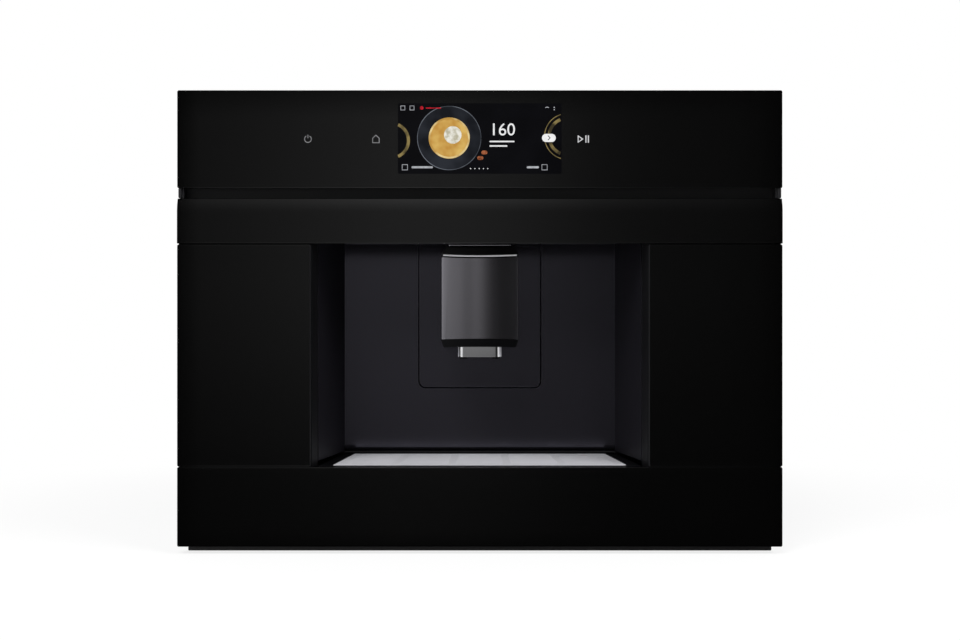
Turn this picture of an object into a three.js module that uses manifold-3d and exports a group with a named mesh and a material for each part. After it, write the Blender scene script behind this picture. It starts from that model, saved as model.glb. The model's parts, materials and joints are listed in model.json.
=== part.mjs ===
// Built-in coffee machine for a 560 x 450 mm cabinet niche, in millimetres, +Z up.
// X runs to the right, Y to the back, and the front faces -Y. The origin is the middle of the
// underside. Every depth below is measured back from the front face, and frontY turns it into Y.
import * as THREE from "three";
import { mergeVertices } from "three/addons/utils/BufferGeometryUtils.js";
import Module from "manifold-3d";

const wasm = await Module();
wasm.setup();

// ---- Driving dimensions ------------------------------------------------------------------
const WIDTH = 594; // front panels, side to side
const HEIGHT = 455; // underside to the top of the control panel
const DEPTH = 377; // front face to rear panel
const BODY_HALF = 279; // half the width of the sheet-metal body
const BODY_TOP = 447;
const SHEET = 1.5; // sheet-metal thickness
const GLASS = 4; // front glass thickness
const FIT = 0.3; // clearance between neighbouring pieces
const HALF = WIDTH / 2;

const PLINTH = { half: 290.3, depth: [20, 25.2], top: 6.9 };
const PANEL = { bottom: 359, front: 0.5 }; // the control panel stands 0.5 mm back
const BAR = { bottom: 304.6, top: 349, wall: 6.5, shelf: 313, back: 18 };
const DOOR = { bottom: 7, glassTop: 303.6, split: 85.4, back: 22, half: 294 };
const CUTOUT = { half: 165.8, frameFront: 165.1, frameBack: 161.6 };
const NICHE = { front: 25.5, back: 128, halfFront: 161.2, halfBack: 145, wall: 2.5, top: 355 };
const HINGE = { x: -290, depth: 12, heights: [42, 270], pin: 2.5, eye: 5.5, pocket: 14 };
const FLANGE = { half: 294, depth: [22.8, 25.2], bottom: 7.2, opening: 268, openTop: 346 };
const MAGNET = { x: [269, 277], z: [142.5, 167.5], depth: [22.4, 32] };

const GRATE = { top: 86.4, front: 11.3, back: 124, halfFront: 147, halfBack: 136 };
const FLOAT = { x: 109, depth: 107.5, radius: 9 };

const OUTLET = { half: 39, front: 28, back: 124, bottom: 210, top: 295.6, shoulder: 303.7 };
const TRAVEL = { down: 35, up: 44 }; // how far the outlet slides from its usual place
const ARM = { half: 12.5, z: [262, 289] }; // carries the outlet through the guide panel's slot
const GUIDE = { half: 65.5, bottom: 157, rodX: 30, rodDepth: 145, rod: 4, slot: 14 };

const LEFT_BAY = [-265, -170];
const RIGHT_BAY = [170, 265];
const GRINDER = { x: -217, depth: 207, radius: 36 };
const BREW = { x: -234, depth: 105, bore: 20 };
const SPINDLE = { x: -193, radius: 4.8 };

// ---- Finishes ----------------------------------------------------------------------------
const finish = (color, roughness, metalness = 0) =>
  new THREE.MeshStandardMaterial({ color, roughness, metalness });
const BLACK_GLASS = finish(0x0b0b0d, 0.06);
const BLACK_METAL = finish(0x1b1b1d, 0.35, 0.6);
const BLACK_PLASTIC = finish(0x161618, 0.5);
const NICHE_PLASTIC = finish(0x262529, 0.45);
const DARK_STEEL = finish(0x57565b, 0.28, 0.9);
const STEEL = finish(0xb4b3b8, 0.3, 1);
const ZINC_SHEET = finish(0xa9acae, 0.45, 0.9);
const GREY_PLASTIC = finish(0x6e7073, 0.55);
const CLEAR_PLASTIC = finish(0xaebac2, 0.15);
const CIRCUIT_BOARD = finish(0x1d5a37, 0.6);
const ALUMINIUM = finish(0xb9bbbd, 0.5, 0.9);
const BRASS = finish(0xb08d4a, 0.35, 1);
const RED_PLASTIC = finish(0xb3261e, 0.5);
const WHITE_DIFFUSER = finish(0xf2f2ee, 0.6);
const SILICONE = finish(0xd9d9d4, 0.5);

// ---- Shapes ------------------------------------------------------------------------------
const frontY = (depth) => depth - DEPTH / 2;
const both = (half) => [-half, half];
const around = (centre, half) => [centre - half, centre + half];
const flip = ([low, high]) => [-high, -low];

// A rectangular block from its ranges in X, depth and Z.
function block(x, depth, z) {
  const box = new THREE.BoxGeometry(x[1] - x[0], depth[1] - depth[0], z[1] - z[0]);
  const middle = (range) => (range[0] + range[1]) / 2;
  return box.translate(middle(x), frontY(middle(depth)), middle(z));
}

const outline = (points) => new THREE.Shape(points.map(([u, v]) => new THREE.Vector2(u, v)));

// A plan outline of [x, depth] points, raised from z[0] to z[1].
function upright(points, z) {
  const plan = outline(points.map(([x, depth]) => [x, frontY(depth)]));
  const solid = new THREE.ExtrudeGeometry(plan, { depth: z[1] - z[0], bevelEnabled: false });
  return solid.translate(0, 0, z[0]);
}

// A side profile of [depth, z] points, run from x[0] to x[1].
function across(points, x) {
  const profile = outline(points.map(([depth, z]) => [frontY(depth), z]));
  const solid = new THREE.ExtrudeGeometry(profile, { depth: x[1] - x[0], bevelEnabled: false });
  const turn = new THREE.Matrix4().makeBasis(
    new THREE.Vector3(0, 1, 0),
    new THREE.Vector3(0, 0, 1),
    new THREE.Vector3(1, 0, 0),
  );
  return solid.applyMatrix4(turn).translate(x[0], 0, 0);
}

// A front outline in X and Z, run back from depth[0] to depth[1].
function backward(shape, depth, curveSegments = 4) {
  const length = depth[1] - depth[0];
  const solid = new THREE.ExtrudeGeometry(shape, { depth: length, bevelEnabled: false, curveSegments });
  return solid.rotateX(Math.PI / 2).translate(0, frontY(depth[1]), 0);
}

// A rectangle in X and Z with round corners.
function roundedRectangle(x, z, radius) {
  const shape = new THREE.Shape();
  const quarter = Math.PI / 2;
  shape.absarc(x[1] - radius, z[0] + radius, radius, -quarter, 0);
  shape.absarc(x[1] - radius, z[1] - radius, radius, 0, quarter);
  shape.absarc(x[0] + radius, z[1] - radius, radius, quarter, 2 * quarter);
  shape.absarc(x[0] + radius, z[0] + radius, radius, 2 * quarter, 3 * quarter);
  return shape;
}

// Round bars: a post stands along Z, and a bolt lies along the depth.
function post(x, depth, radius, z, sides = 20) {
  const bar = new THREE.CylinderGeometry(radius, radius, z[1] - z[0], sides);
  return bar.rotateX(Math.PI / 2).translate(x, frontY(depth), (z[0] + z[1]) / 2);
}

function bolt(x, z, radius, depth, sides = 20) {
  const bar = new THREE.CylinderGeometry(radius, radius, depth[1] - depth[0], sides);
  return bar.translate(x, frontY((depth[0] + depth[1]) / 2), z);
}

// A turned solid about an upright axis, from [radius, z] points that start and end on the axis
// or close on themselves.
function turned(profile, x, depth, sides = 32) {
  const points = profile.map(([radius, z]) => new THREE.Vector2(radius, z));
  const solid = new THREE.LatheGeometry(points, sides);
  return solid.rotateX(Math.PI / 2).translate(x, frontY(depth), 0);
}

// A round hose along a smooth curve through [x, depth, z] points.
function hose(points, radius, steps) {
  const route = points.map(([x, depth, z]) => new THREE.Vector3(x, frontY(depth), z));
  const section = new THREE.Shape();
  section.absarc(0, 0, radius, 0, 2 * Math.PI);
  return new THREE.ExtrudeGeometry(section, {
    steps,
    curveSegments: 5,
    bevelEnabled: false,
    extrudePath: new THREE.CatmullRomCurve3(route),
  });
}

// ---- Joining and cutting -----------------------------------------------------------------
function solidOf(geometry) {
  const bare = geometry.clone();
  bare.deleteAttribute("normal");
  bare.deleteAttribute("uv");
  const merged = mergeVertices(bare, 1e-3);
  const mesh = new wasm.Mesh({
    numProp: 3,
    vertProperties: merged.attributes.position.array,
    triVerts: new Uint32Array(merged.index.array),
  });
  return new wasm.Manifold(mesh);
}

function geometryOf(solid) {
  const mesh = solid.getMesh();
  const shared = new THREE.BufferGeometry();
  shared.setAttribute("position", new THREE.BufferAttribute(mesh.vertProperties, 3));
  shared.setIndex(new THREE.BufferAttribute(mesh.triVerts, 1));
  const faceted = shared.toNonIndexed();
  faceted.computeVertexNormals();
  return faceted;
}

const merge = (geometries) => geometries.map(solidOf).reduce((all, next) => all.add(next));
const join = (...geometries) => geometryOf(merge(geometries));
const cut = (geometry, ...tools) => geometryOf(solidOf(geometry).subtract(merge(tools)));

// ---- The assembly ------------------------------------------------------------------------
const machine = new THREE.Group();
const door = new THREE.Group();
const outlet = new THREE.Group();
const grinder = new THREE.Group();
const brewUnit = new THREE.Group();
machine.add(door, outlet, grinder, brewUnit);

function place(group, name, geometry, material) {
  const mesh = new THREE.Mesh(geometry, material);
  mesh.name = name;
  group.add(mesh);
}

// A row of equal slots along the depth, cut upright through a side wall.
function ventSlots(x, first, count, pitch, z) {
  const slots = [];
  for (let i = 0; i < count; i += 1) {
    slots.push(block(x, around(first + i * pitch, 2), z));
  }
  return slots;
}

// ---- Body: sheet-metal casing, flange and plinth -----------------------------------------
function makeBody() {
  const inner = BODY_HALF - SHEET - FIT;
  const rear = [DEPTH - SHEET, DEPTH];
  const casing = [NICHE.front, DEPTH - SHEET - FIT];
  const coverBottom = BODY_TOP - SHEET;
  const ribs = [80, 210, 330].map((depth) => block(both(150), around(depth, 6), [1, 7]));
  place(machine, "base_plate", join(block(both(inner), casing, [0, 2]), ...ribs), ZINC_SHEET);

  const side = [BODY_HALF - SHEET, BODY_HALF];
  const sideWall = (x) => {
    const wall = block(x, [NICHE.front, DEPTH], [0, coverBottom - FIT]);
    const through = [x[0] - 1, x[1] + 1];
    const low = ventSlots(through, 236, 10, 12, [40, 90]);
    const high = ventSlots(through, 236, 10, 12, [370, 420]);
    return cut(wall, ...low, ...high);
  };
  place(machine, "left_side_panel", sideWall(flip(side)), ZINC_SHEET);
  place(machine, "right_side_panel", sideWall(side), ZINC_SHEET);

  const rearVents = [];
  for (let i = 0; i < 14; i += 1) {
    const x = around(-130 + i * 20, 2.5);
    rearVents.push(block(x, [rear[0] - 1, rear[1] + 1], [330, 400]));
  }
  const inletHole = block([-246, -210], [rear[0] - 1, rear[1] + 1], [38, 68]);
  const rearWall = block(both(inner), rear, [2 + FIT, coverBottom - FIT]);
  place(machine, "rear_panel", cut(rearWall, inletHole, ...rearVents), ZINC_SHEET);

  const topVents = [];
  for (let i = 0; i < 12; i += 1) {
    topVents.push(block(around(-110 + i * 20, 2.5), [300, 350], [coverBottom - 1, BODY_TOP + 1]));
  }
  const lid = block(both(BODY_HALF), [NICHE.front, DEPTH], [coverBottom, BODY_TOP]);
  place(machine, "top_cover", cut(lid, ...topVents), ZINC_SHEET);

  const past = [FLANGE.depth[0] - 1, FLANGE.depth[1] + 1];
  const wiringWindow = block(both(60), past, [385, 425]);
  const fixingHoles = [];
  for (const x of [-281, 281]) {
    for (const z of [110, 330]) {
      fixingHoles.push(bolt(x, z, 2.6, past, 12));
    }
  }
  place(
    machine,
    "front_flange",
    cut(
      block(both(FLANGE.half), FLANGE.depth, [FLANGE.bottom, BODY_TOP]),
      block(both(FLANGE.opening), past, [10, FLANGE.openTop]),
      block(MAGNET.x, past, MAGNET.z),
      wiringWindow,
      ...fixingHoles,
    ),
    ZINC_SHEET,
  );
  place(machine, "plinth_trim", block(both(PLINTH.half), PLINTH.depth, [0, PLINTH.top]), BLACK_PLASTIC);
  const shrunk = (range) => [range[0] + FIT, range[1] - FIT];
  place(machine, "door_magnet", block(shrunk(MAGNET.x), MAGNET.depth, shrunk(MAGNET.z)), DARK_STEEL);
}

// ---- Control panel: glass, carrier, display, electronics, grip recess --------------------
function makeControlPanel() {
  const back = PANEL.front + GLASS;
  const glass = backward(
    roundedRectangle(both(HALF), [PANEL.bottom, HEIGHT], 1.5),
    [PANEL.front, back],
  );
  place(machine, "control_panel_glass", glass, BLACK_GLASS);

  const front = back + FIT;
  const display = { x: both(82.3), z: [371, 444] };
  const leftKeys = [-182, -88];
  const rightKeys = [88, 116];
  const keyBand = [396, 420];
  const tail = [leftKeys[1] - 6, rightKeys[0] + 6];
  const tailBottom = 366;
  const grown = (range) => [range[0] - FIT, range[1] + FIT];
  const pocket = (x, z) => block(grown(x), [front - 1, 10], grown(z));
  const recess = [BAR.top + 0.6, PANEL.bottom - FIT];
  const cheek = [HALF - 4, HALF - 1];
  const shell = join(
    block(both(292), [front, 22.5], [361, 451]),
    block(both(292), [18, 22.5], [recess[0], 362]),
    block(both(HALF - 1), [18, 20], recess),
    block(cheek, [1.5, 19], recess),
    block(flip(cheek), [1.5, 19], recess),
  );
  place(
    machine,
    "control_panel_carrier",
    cut(
      shell,
      block(both(287), [front + 2, 23], [365, 447]),
      pocket(display.x, display.z),
      pocket(leftKeys, keyBand),
      pocket(rightKeys, keyBand),
      pocket([tail[0], leftKeys[1]], [tailBottom, keyBand[1]]),
      pocket([rightKeys[0], tail[1]], [tailBottom, keyBand[1]]),
      pocket(tail, [tailBottom, display.z[0]]),
    ),
    BLACK_PLASTIC,
  );
  place(machine, "display_module", block(display.x, [front, 12], display.z), BLACK_GLASS);
  const film = [front, 6.4];
  place(
    machine,
    "touch_sensor_film",
    join(
      block(leftKeys, film, keyBand),
      block(rightKeys, film, keyBand),
      block([tail[0], leftKeys[1]], film, [tailBottom, keyBand[1]]),
      block([rightKeys[0], tail[1]], film, [tailBottom, keyBand[1]]),
      block(tail, film, [tailBottom, tailBottom + 3.5]),
    ),
    CIRCUIT_BOARD,
  );

  const chips = [
    block([-60, -30], [15, 18], [395, 420]),
    block([-5, 15], [15, 17.5], [385, 405]),
    block([35, 65], [15, 20.5], [410, 430]),
    block([30, 62], [15, 19], [380, 388]),
  ];
  const board = block(both(75), [14, 15.6], [376, 438]);
  place(machine, "control_board", join(board, ...chips), CIRCUIT_BOARD);
}

// ---- Door: glass panels, handle bar, frame, liners and hinges ----------------------------
function makeHandleBar() {
  const profile = [
    [1, BAR.bottom],
    [0, BAR.bottom + 1],
  ];
  const bevel = { start: 340, lean: 3.6 };
  const steps = 6;
  for (let i = 0; i <= steps; i += 1) {
    const t = i / steps;
    profile.push([bevel.lean * t * t, bevel.start + (BAR.top - 0.8 - bevel.start) * t]);
  }
  profile.push([bevel.lean + 1, BAR.top], [BAR.wall, BAR.top]);
  profile.push([BAR.wall, BAR.shelf], [BAR.back, BAR.shelf], [BAR.back, BAR.bottom]);
  place(door, "handle_bar", across(profile, both(HALF)), BLACK_METAL);
}

function makeDoorGlass() {
  const pane = (x, z) => backward(roundedRectangle(x, z, 1), [0, GLASS]);
  const side = [DOOR.split + FIT, DOOR.glassTop];
  place(door, "left_glass", pane([-HALF, -CUTOUT.half], side), BLACK_GLASS);
  place(door, "right_glass", pane([CUTOUT.half, HALF], side), BLACK_GLASS);
  place(door, "lower_glass", pane(both(HALF), [DOOR.bottom, DOOR.split - FIT]), BLACK_GLASS);
}

function makeDoorFrame() {
  const front = GLASS + FIT;
  const { half, back } = DOOR;
  const height = [DOOR.bottom + 2, BAR.bottom - 0.4];
  const { frameFront, frameBack } = CUTOUT;
  const leftPost = upright(
    [
      [-half, front],
      [-frameFront, front],
      [-frameBack, back],
      [HINGE.x, back],
      [-half, back - 4],
    ],
    height,
  );
  const rightPost = upright(
    [
      [frameFront, front],
      [half, front],
      [half, back],
      [frameBack, back],
    ],
    height,
  );
  const lowerRail = block(both(frameFront + 2), [front, 8], [height[0], DOOR.split - 0.8]);
  const liner = { z: [20, 292], depth: [back - 2.2, back], left: [-270, -172], right: [172, 266] };
  const hollow = (x) =>
    block([x[0] - FIT, x[1] + FIT], [front + 2.5, back + 1], [liner.z[0] - FIT, liner.z[1] + FIT]);
  const tools = [hollow(liner.left), hollow(liner.right)];
  for (const z of HINGE.heights) {
    tools.push(block([-HALF - 3, -276], [front - 0.1, back + 1], around(z, HINGE.pocket)));
    tools.push(post(HINGE.x, HINGE.depth, HINGE.pin + FIT, around(z, HINGE.pocket + 8.3)));
  }
  place(door, "door_frame", cut(join(leftPost, rightPost, lowerRail), ...tools), BLACK_PLASTIC);
  place(door, "left_door_liner", block(liner.left, liner.depth, liner.z), NICHE_PLASTIC);
  place(door, "right_door_liner", block(liner.right, liner.depth, liner.z), NICHE_PLASTIC);
}

// Each hinge is a leaf that reaches forward from the flange into a pocket of the door, with an
// upright pin riveted through its eye. The pin's ends turn in bores of the door frame.
function makeHinges() {
  HINGE.heights.forEach((z, i) => {
    const which = i === 0 ? "lower" : "upper";
    const arm = around(HINGE.x, 4.4);
    const face = FLANGE.depth[0] - FIT;
    const leaf = around(z, 1.5);
    const hinge = join(
      post(HINGE.x, HINGE.depth, HINGE.eye, leaf),
      block(arm, [HINGE.depth, face], leaf),
      block(arm, [face - 2.3, face], around(z, 12)),
      post(HINGE.x, HINGE.depth, HINGE.pin, around(z, HINGE.pocket + 8)),
    );
    place(machine, which + "_hinge", hinge, ZINC_SHEET);
  });
}

// ---- Niche: moulded liner with the tray bay, guide panel, lamp ---------------------------
function makeNiche() {
  const { front, back, halfFront, halfBack, wall, top } = NICHE;
  const inside = [
    [-halfFront, front - 1],
    [-halfBack, back],
    [halfBack, back],
    [halfFront, front - 1],
  ];
  const outside = [
    [-halfFront - wall, front],
    [-halfBack - wall, back + wall],
    [halfBack + wall, back + wall],
    [halfFront + wall, front],
  ];
  const upper = [89, top];
  const bay = { half: 166, back: 142, z: [38, 88] };
  const lipRadius = 7;
  const lipCentre = { depth: back + lipRadius, z: 96 };
  const lipSteps = 6;
  const lip = [[lipCentre.depth, lipCentre.z]];
  for (let i = 0; i <= lipSteps; i += 1) {
    const angle = Math.PI + (i / lipSteps) * (Math.PI / 2);
    lip.push([
      lipCentre.depth + lipRadius * Math.cos(angle),
      lipCentre.z + lipRadius * Math.sin(angle),
    ]);
  }
  const window = [GUIDE.bottom - 0.5, top - wall];
  const shell = cut(
    join(
      upright(outside, upper),
      block([-bay.half, -bay.half + 3], [27, bay.back], [bay.z[0], 89.5]),
      block([bay.half - 3, bay.half], [27, bay.back], [bay.z[0], 89.5]),
      block([-bay.half, bay.half], [27, bay.back], [bay.z[0], bay.z[0] + 2.5]),
      block([-bay.half, bay.half], [bay.back - 3, bay.back], [bay.z[0], 94]),
      block([-bay.half, -halfBack + 2], [60, bay.back], [89, 91]),
      block([halfBack - 2, bay.half], [60, bay.back], [89, 91]),
    ),
    upright(inside, [upper[0] - 1, top - wall]),
  );
  const lipped = join(
    cut(shell, backward(roundedRectangle(both(GUIDE.half + 0.5), window, 8), [127, 132])),
    across(lip, both(halfBack + 0.5)),
    block(both(halfBack), [lipCentre.depth - 3, bay.back - 1], [91, 94]),
  );
  place(machine, "niche_housing", lipped, NICHE_PLASTIC);

  const slot = [ARM.z[0] - TRAVEL.down - 2, ARM.z[1] + TRAVEL.up + 2];
  const panelTop = top - wall - 0.4;
  const bracket = (z) => block(both(44), [129, 153], z);
  const panel = join(
    backward(roundedRectangle(both(GUIDE.half), [GUIDE.bottom, panelTop], 8), [127.4, 130]),
    bracket([188, 195.7]),
    bracket([346.3, panelTop]),
  );
  place(
    machine,
    "outlet_guide_panel",
    cut(panel, block(both(GUIDE.slot), [126, 131], slot)),
    NICHE_PLASTIC,
  );

  const strip = [351.2, top - wall - FIT];
  const diffuser = [62, 132];
  const lampDepth = [60, 72];
  place(
    machine,
    "niche_lamp",
    join(
      block(both(132), lampDepth, strip),
      block(flip(diffuser), lampDepth, [347.5, 352]),
      block(diffuser, lampDepth, [347.5, 352]),
    ),
    WHITE_DIFFUSER,
  );
}

// ---- Drip tray, grate and float ----------------------------------------------------------
const wedge = (halfFront, front, halfBack, back) => [
  [-halfFront, front],
  [halfFront, front],
  [halfBack, back],
  [-halfBack, back],
];

function grateSlots() {
  const slots = [];
  const rows = 11;
  const columns = 5;
  const pitch = 9;
  const halfWidth = 1.75;
  const gap = 7;
  for (let row = 0; row < rows; row += 1) {
    const depth = 22 + row * pitch;
    const along = (depth - GRATE.front) / (GRATE.back - GRATE.front);
    const reach = GRATE.halfFront - 9 + (GRATE.halfBack - GRATE.halfFront) * along;
    const length = (2 * reach - (columns - 1) * gap) / columns;
    for (let column = 0; column < columns; column += 1) {
      const start = -reach + column * (length + gap);
      const nearFloat = Math.abs(depth - FLOAT.depth) < FLOAT.radius && column === columns - 1;
      if (!nearFloat) {
        slots.push(block([start, start + length], around(depth, halfWidth), [80, 90]));
      }
    }
  }
  return slots;
}

function makeDripTray() {
  const rimTop = GRATE.top - 0.6;
  const floor = 44;
  const rim = wedge(159, 8.8, 146.5, 131);
  const seat = wedge(GRATE.halfFront + 0.4, GRATE.front - 0.4, GRATE.halfBack + 0.4, GRATE.back + 0.4);
  const basin = wedge(GRATE.halfFront - 3, 14, GRATE.halfBack - 3, 121);
  const basinWall = wedge(GRATE.halfFront - 0.5, 11, GRATE.halfBack - 0.5, 123.5);
  place(
    machine,
    "drip_tray",
    cut(
      join(upright(rim, [80, rimTop]), upright(basinWall, [floor - 2.5, 80.5])),
      upright(seat, [82.9, 90]),
      upright(basin, [floor, 84]),
    ),
    BLACK_PLASTIC,
  );

  const plate = wedge(GRATE.halfFront, GRATE.front, GRATE.halfBack, GRATE.back);
  const under = wedge(GRATE.halfFront - 1.8, GRATE.front + 1.6, GRATE.halfBack - 1.8, GRATE.back - 1.6);
  const floatHole = post(FLOAT.x, FLOAT.depth, 5.5, [80, 90], 16);
  place(
    machine,
    "drip_grate",
    cut(upright(plate, [83.2, GRATE.top]), upright(under, [82, 85]), floatHole, ...grateSlots()),
    STEEL,
  );
  place(
    machine,
    "tray_float",
    join(
      post(FLOAT.x, FLOAT.depth, FLOAT.radius, [floor + 6, 68]),
      post(FLOAT.x, FLOAT.depth, 3.5, [67, 83.5]),
    ),
    RED_PLASTIC,
  );
}

// A block whose two upright front edges are round.
function roundFronted(halfWidth, depth, radius, z) {
  const steps = 5;
  const corner = (sign) =>
    Array.from({ length: steps + 1 }, (_, i) => {
      const angle = (i / steps) * (Math.PI / 2);
      const x = halfWidth - radius + radius * Math.cos(angle);
      return [sign * x, depth[0] + radius - radius * Math.sin(angle)];
    });
  return upright([...corner(-1), ...corner(1).reverse(), [halfWidth, depth[1]], [-halfWidth, depth[1]]], z);
}

// ---- Drinks outlet: body, cover, cap, spout, carriage and guide rods ---------------------
function makeOutlet() {
  const { half, front, back, bottom, top, shoulder } = OUTLET;
  const skin = 1.4;
  const inner = half - skin - FIT;
  const lipBottom = 203;
  const trapezoid = (low, high, z) =>
    outline([
      [-low, z[0]],
      [low, z[0]],
      [high, z[1]],
      [-high, z[1]],
    ]);
  const cavity = { x: both(33), z: [213, 290] };
  const cover = { back: 74, corner: 4 };
  place(
    outlet,
    "outlet_body",
    cut(
      join(
        roundFronted(inner, [front + skin + FIT, back], cover.corner - skin, [lipBottom + 1, top + 1]),
        backward(trapezoid(half, 33.5, [top + FIT, shoulder]), [front + 0.6, back]),
        backward(trapezoid(36.3, half, [lipBottom, bottom - FIT]), [front + 0.6, back]),
      ),
      block(cavity.x, [front + 6, back + 1], cavity.z),
    ),
    BLACK_PLASTIC,
  );

  place(
    outlet,
    "outlet_cover",
    cut(
      roundFronted(half, [front, cover.back], cover.corner, [bottom, top]),
      roundFronted(half - skin, [front + skin, cover.back + 1], cover.corner - skin, [bottom - 1, top + 1]),
    ),
    DARK_STEEL,
  );
  place(outlet, "outlet_cap", block(both(31.8), [30, 118], [shoulder + FIT, 306.6]), DARK_STEEL);

  const spout = { half: 22, z: [192.3, lipBottom - FIT], depth: 46, halfDepth: 11 };
  const nozzleX = 16.5;
  const spoutBlock = join(
    block(both(spout.half - 5), around(spout.depth, spout.halfDepth), spout.z),
    block(both(spout.half), around(spout.depth, spout.halfDepth - 3), spout.z),
    post(nozzleX, spout.depth, 3.8, [190.2, 196]),
    post(-nozzleX, spout.depth, 3.8, [190.2, 196]),
  );
  place(
    outlet,
    "outlet_spout",
    cut(
      spoutBlock,
      post(nozzleX, spout.depth, 2.4, [189, 199]),
      post(-nozzleX, spout.depth, 2.4, [189, 199]),
    ),
    STEEL,
  );

  const slider = { x: both(40), z: [258, 296], depth: [133, 156] };
  const carriage = join(
    block(both(cavity.x[1] - FIT), [back - 2.5, back], [cavity.z[0] + FIT, cavity.z[1] - FIT]),
    block(both(ARM.half), [back - 1, slider.depth[0] + 1], ARM.z),
    block(slider.x, slider.depth, slider.z),
  );
  const rodBore = (x) => post(x, GUIDE.rodDepth, GUIDE.rod + 0.4, [250, 300]);
  place(outlet, "outlet_carriage", cut(carriage, rodBore(GUIDE.rodX), rodBore(-GUIDE.rodX)), GREY_PLASTIC);

  const rod = (x) => post(x, GUIDE.rodDepth, GUIDE.rod, [196, 346]);
  place(machine, "left_guide_rod", rod(-GUIDE.rodX), STEEL);
  place(machine, "right_guide_rod", rod(GUIDE.rodX), STEEL);
}

// ---- Containers behind the door ----------------------------------------------------------
// An open box of the given wall, with a round finger grip in its front.
function openBox(x, depth, z, wall) {
  const inside = [
    [x[0] + wall, x[1] - wall],
    [depth[0] + wall + 8, depth[1] - wall],
    [z[0] + wall, z[1] + 1],
  ];
  const grip = block(around((x[0] + x[1]) / 2, 24), [depth[0] - 1, depth[0] + 7], [
    z[1] - 32,
    z[1] - 12,
  ]);
  return cut(block(x, depth, z), block(...inside), grip);
}

function makeContainers() {
  const tank = { depth: [30, 168], z: [10, 222] };
  place(machine, "water_tank", openBox(RIGHT_BAY, tank.depth, tank.z, 2.5), CLEAR_PLASTIC);
  const lid = (x, depth, z) =>
    join(
      block(x, depth, [z, z + 3]),
      block(around((x[0] + x[1]) / 2, 20), [depth[0] + 12, depth[0] + 22], [z + 2, z + 6]),
    );
  place(machine, "tank_lid", lid(RIGHT_BAY, tank.depth, tank.z[1] + FIT), BLACK_PLASTIC);

  const hopper = { depth: [30, 246], z: [270, 336] };
  const throat = post(GRINDER.x, GRINDER.depth, 16, [260, 300]);
  const bin = openBox(LEFT_BAY, hopper.depth, hopper.z, 2.5);
  place(machine, "bean_hopper", cut(bin, throat), CLEAR_PLASTIC);
  place(machine, "hopper_lid", lid(LEFT_BAY, hopper.depth, hopper.z[1] + FIT), BLACK_PLASTIC);

  place(machine, "grounds_container", openBox(LEFT_BAY, [30, 190], [10, 92], 2.2), BLACK_PLASTIC);

  const fascia = block([170, 266], [30, 32.5], [236, 344]);
  place(machine, "right_fascia", fascia, BLACK_PLASTIC);
}

// ---- Grinder -----------------------------------------------------------------------------
function makeGrinder() {
  const { x, depth, radius } = GRINDER;
  const motor = turned(
    [
      [0, 166],
      [24, 166],
      [30, 172],
      [30, 206],
      [34, 206],
      [34, 222],
      [4.8, 222],
      [4.8, 208],
      [0, 208],
    ],
    x,
    depth,
  );
  place(grinder, "grinder_motor", motor, DARK_STEEL);

  const ring = (inner, outer, z) =>
    turned(
      [
        [inner, z[0]],
        [outer, z[0]],
        [outer, z[1]],
        [inner, z[1]],
        [inner, z[0]],
      ],
      x,
      depth,
    );
  const chute = across(
    [
      [174, 225],
      [174, 241],
      [131, 198],
      [131, 182],
    ],
    around(BREW.x, 12),
  );
  const channel = across(
    [
      [178, 231],
      [178, 248],
      [129, 199],
      [129, 182],
    ],
    around(BREW.x, 10),
  );
  const housing = cut(
    join(ring(30.5, radius, [222.3, 262]), cut(chute, channel)),
    post(x, depth, 30.5, [200, 270], 32),
  );
  place(grinder, "grinder_housing", housing, GREY_PLASTIC);

  const outerBurr = turned(
    [
      [24, 232],
      [30.2, 232],
      [30.2, 256],
      [17, 256],
      [24, 232],
    ],
    x,
    depth,
  );
  place(grinder, "outer_burr", outerBurr, STEEL);
  const innerBurr = turned(
    [
      [0, 209],
      [4.2, 209],
      [4.2, 230],
      [22.5, 230],
      [22.5, 233],
      [12, 258],
      [5, 260],
      [0, 260],
    ],
    x,
    depth,
    20,
  );
  place(grinder, "inner_burr", innerBurr, STEEL);

  const knob = { x: -184, z: 260, radius: 8.5 };
  place(
    grinder,
    "grind_knob",
    cut(
      join(
        bolt(knob.x, knob.z, knob.radius, [27.5, 36]),
        bolt(knob.x, knob.z, 2.5, [35, 185], 12),
      ),
      block(around(knob.x, 0.9), [27, 28.5], [knob.z, knob.z + 10]),
    ),
    GREY_PLASTIC,
  );
}

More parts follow.
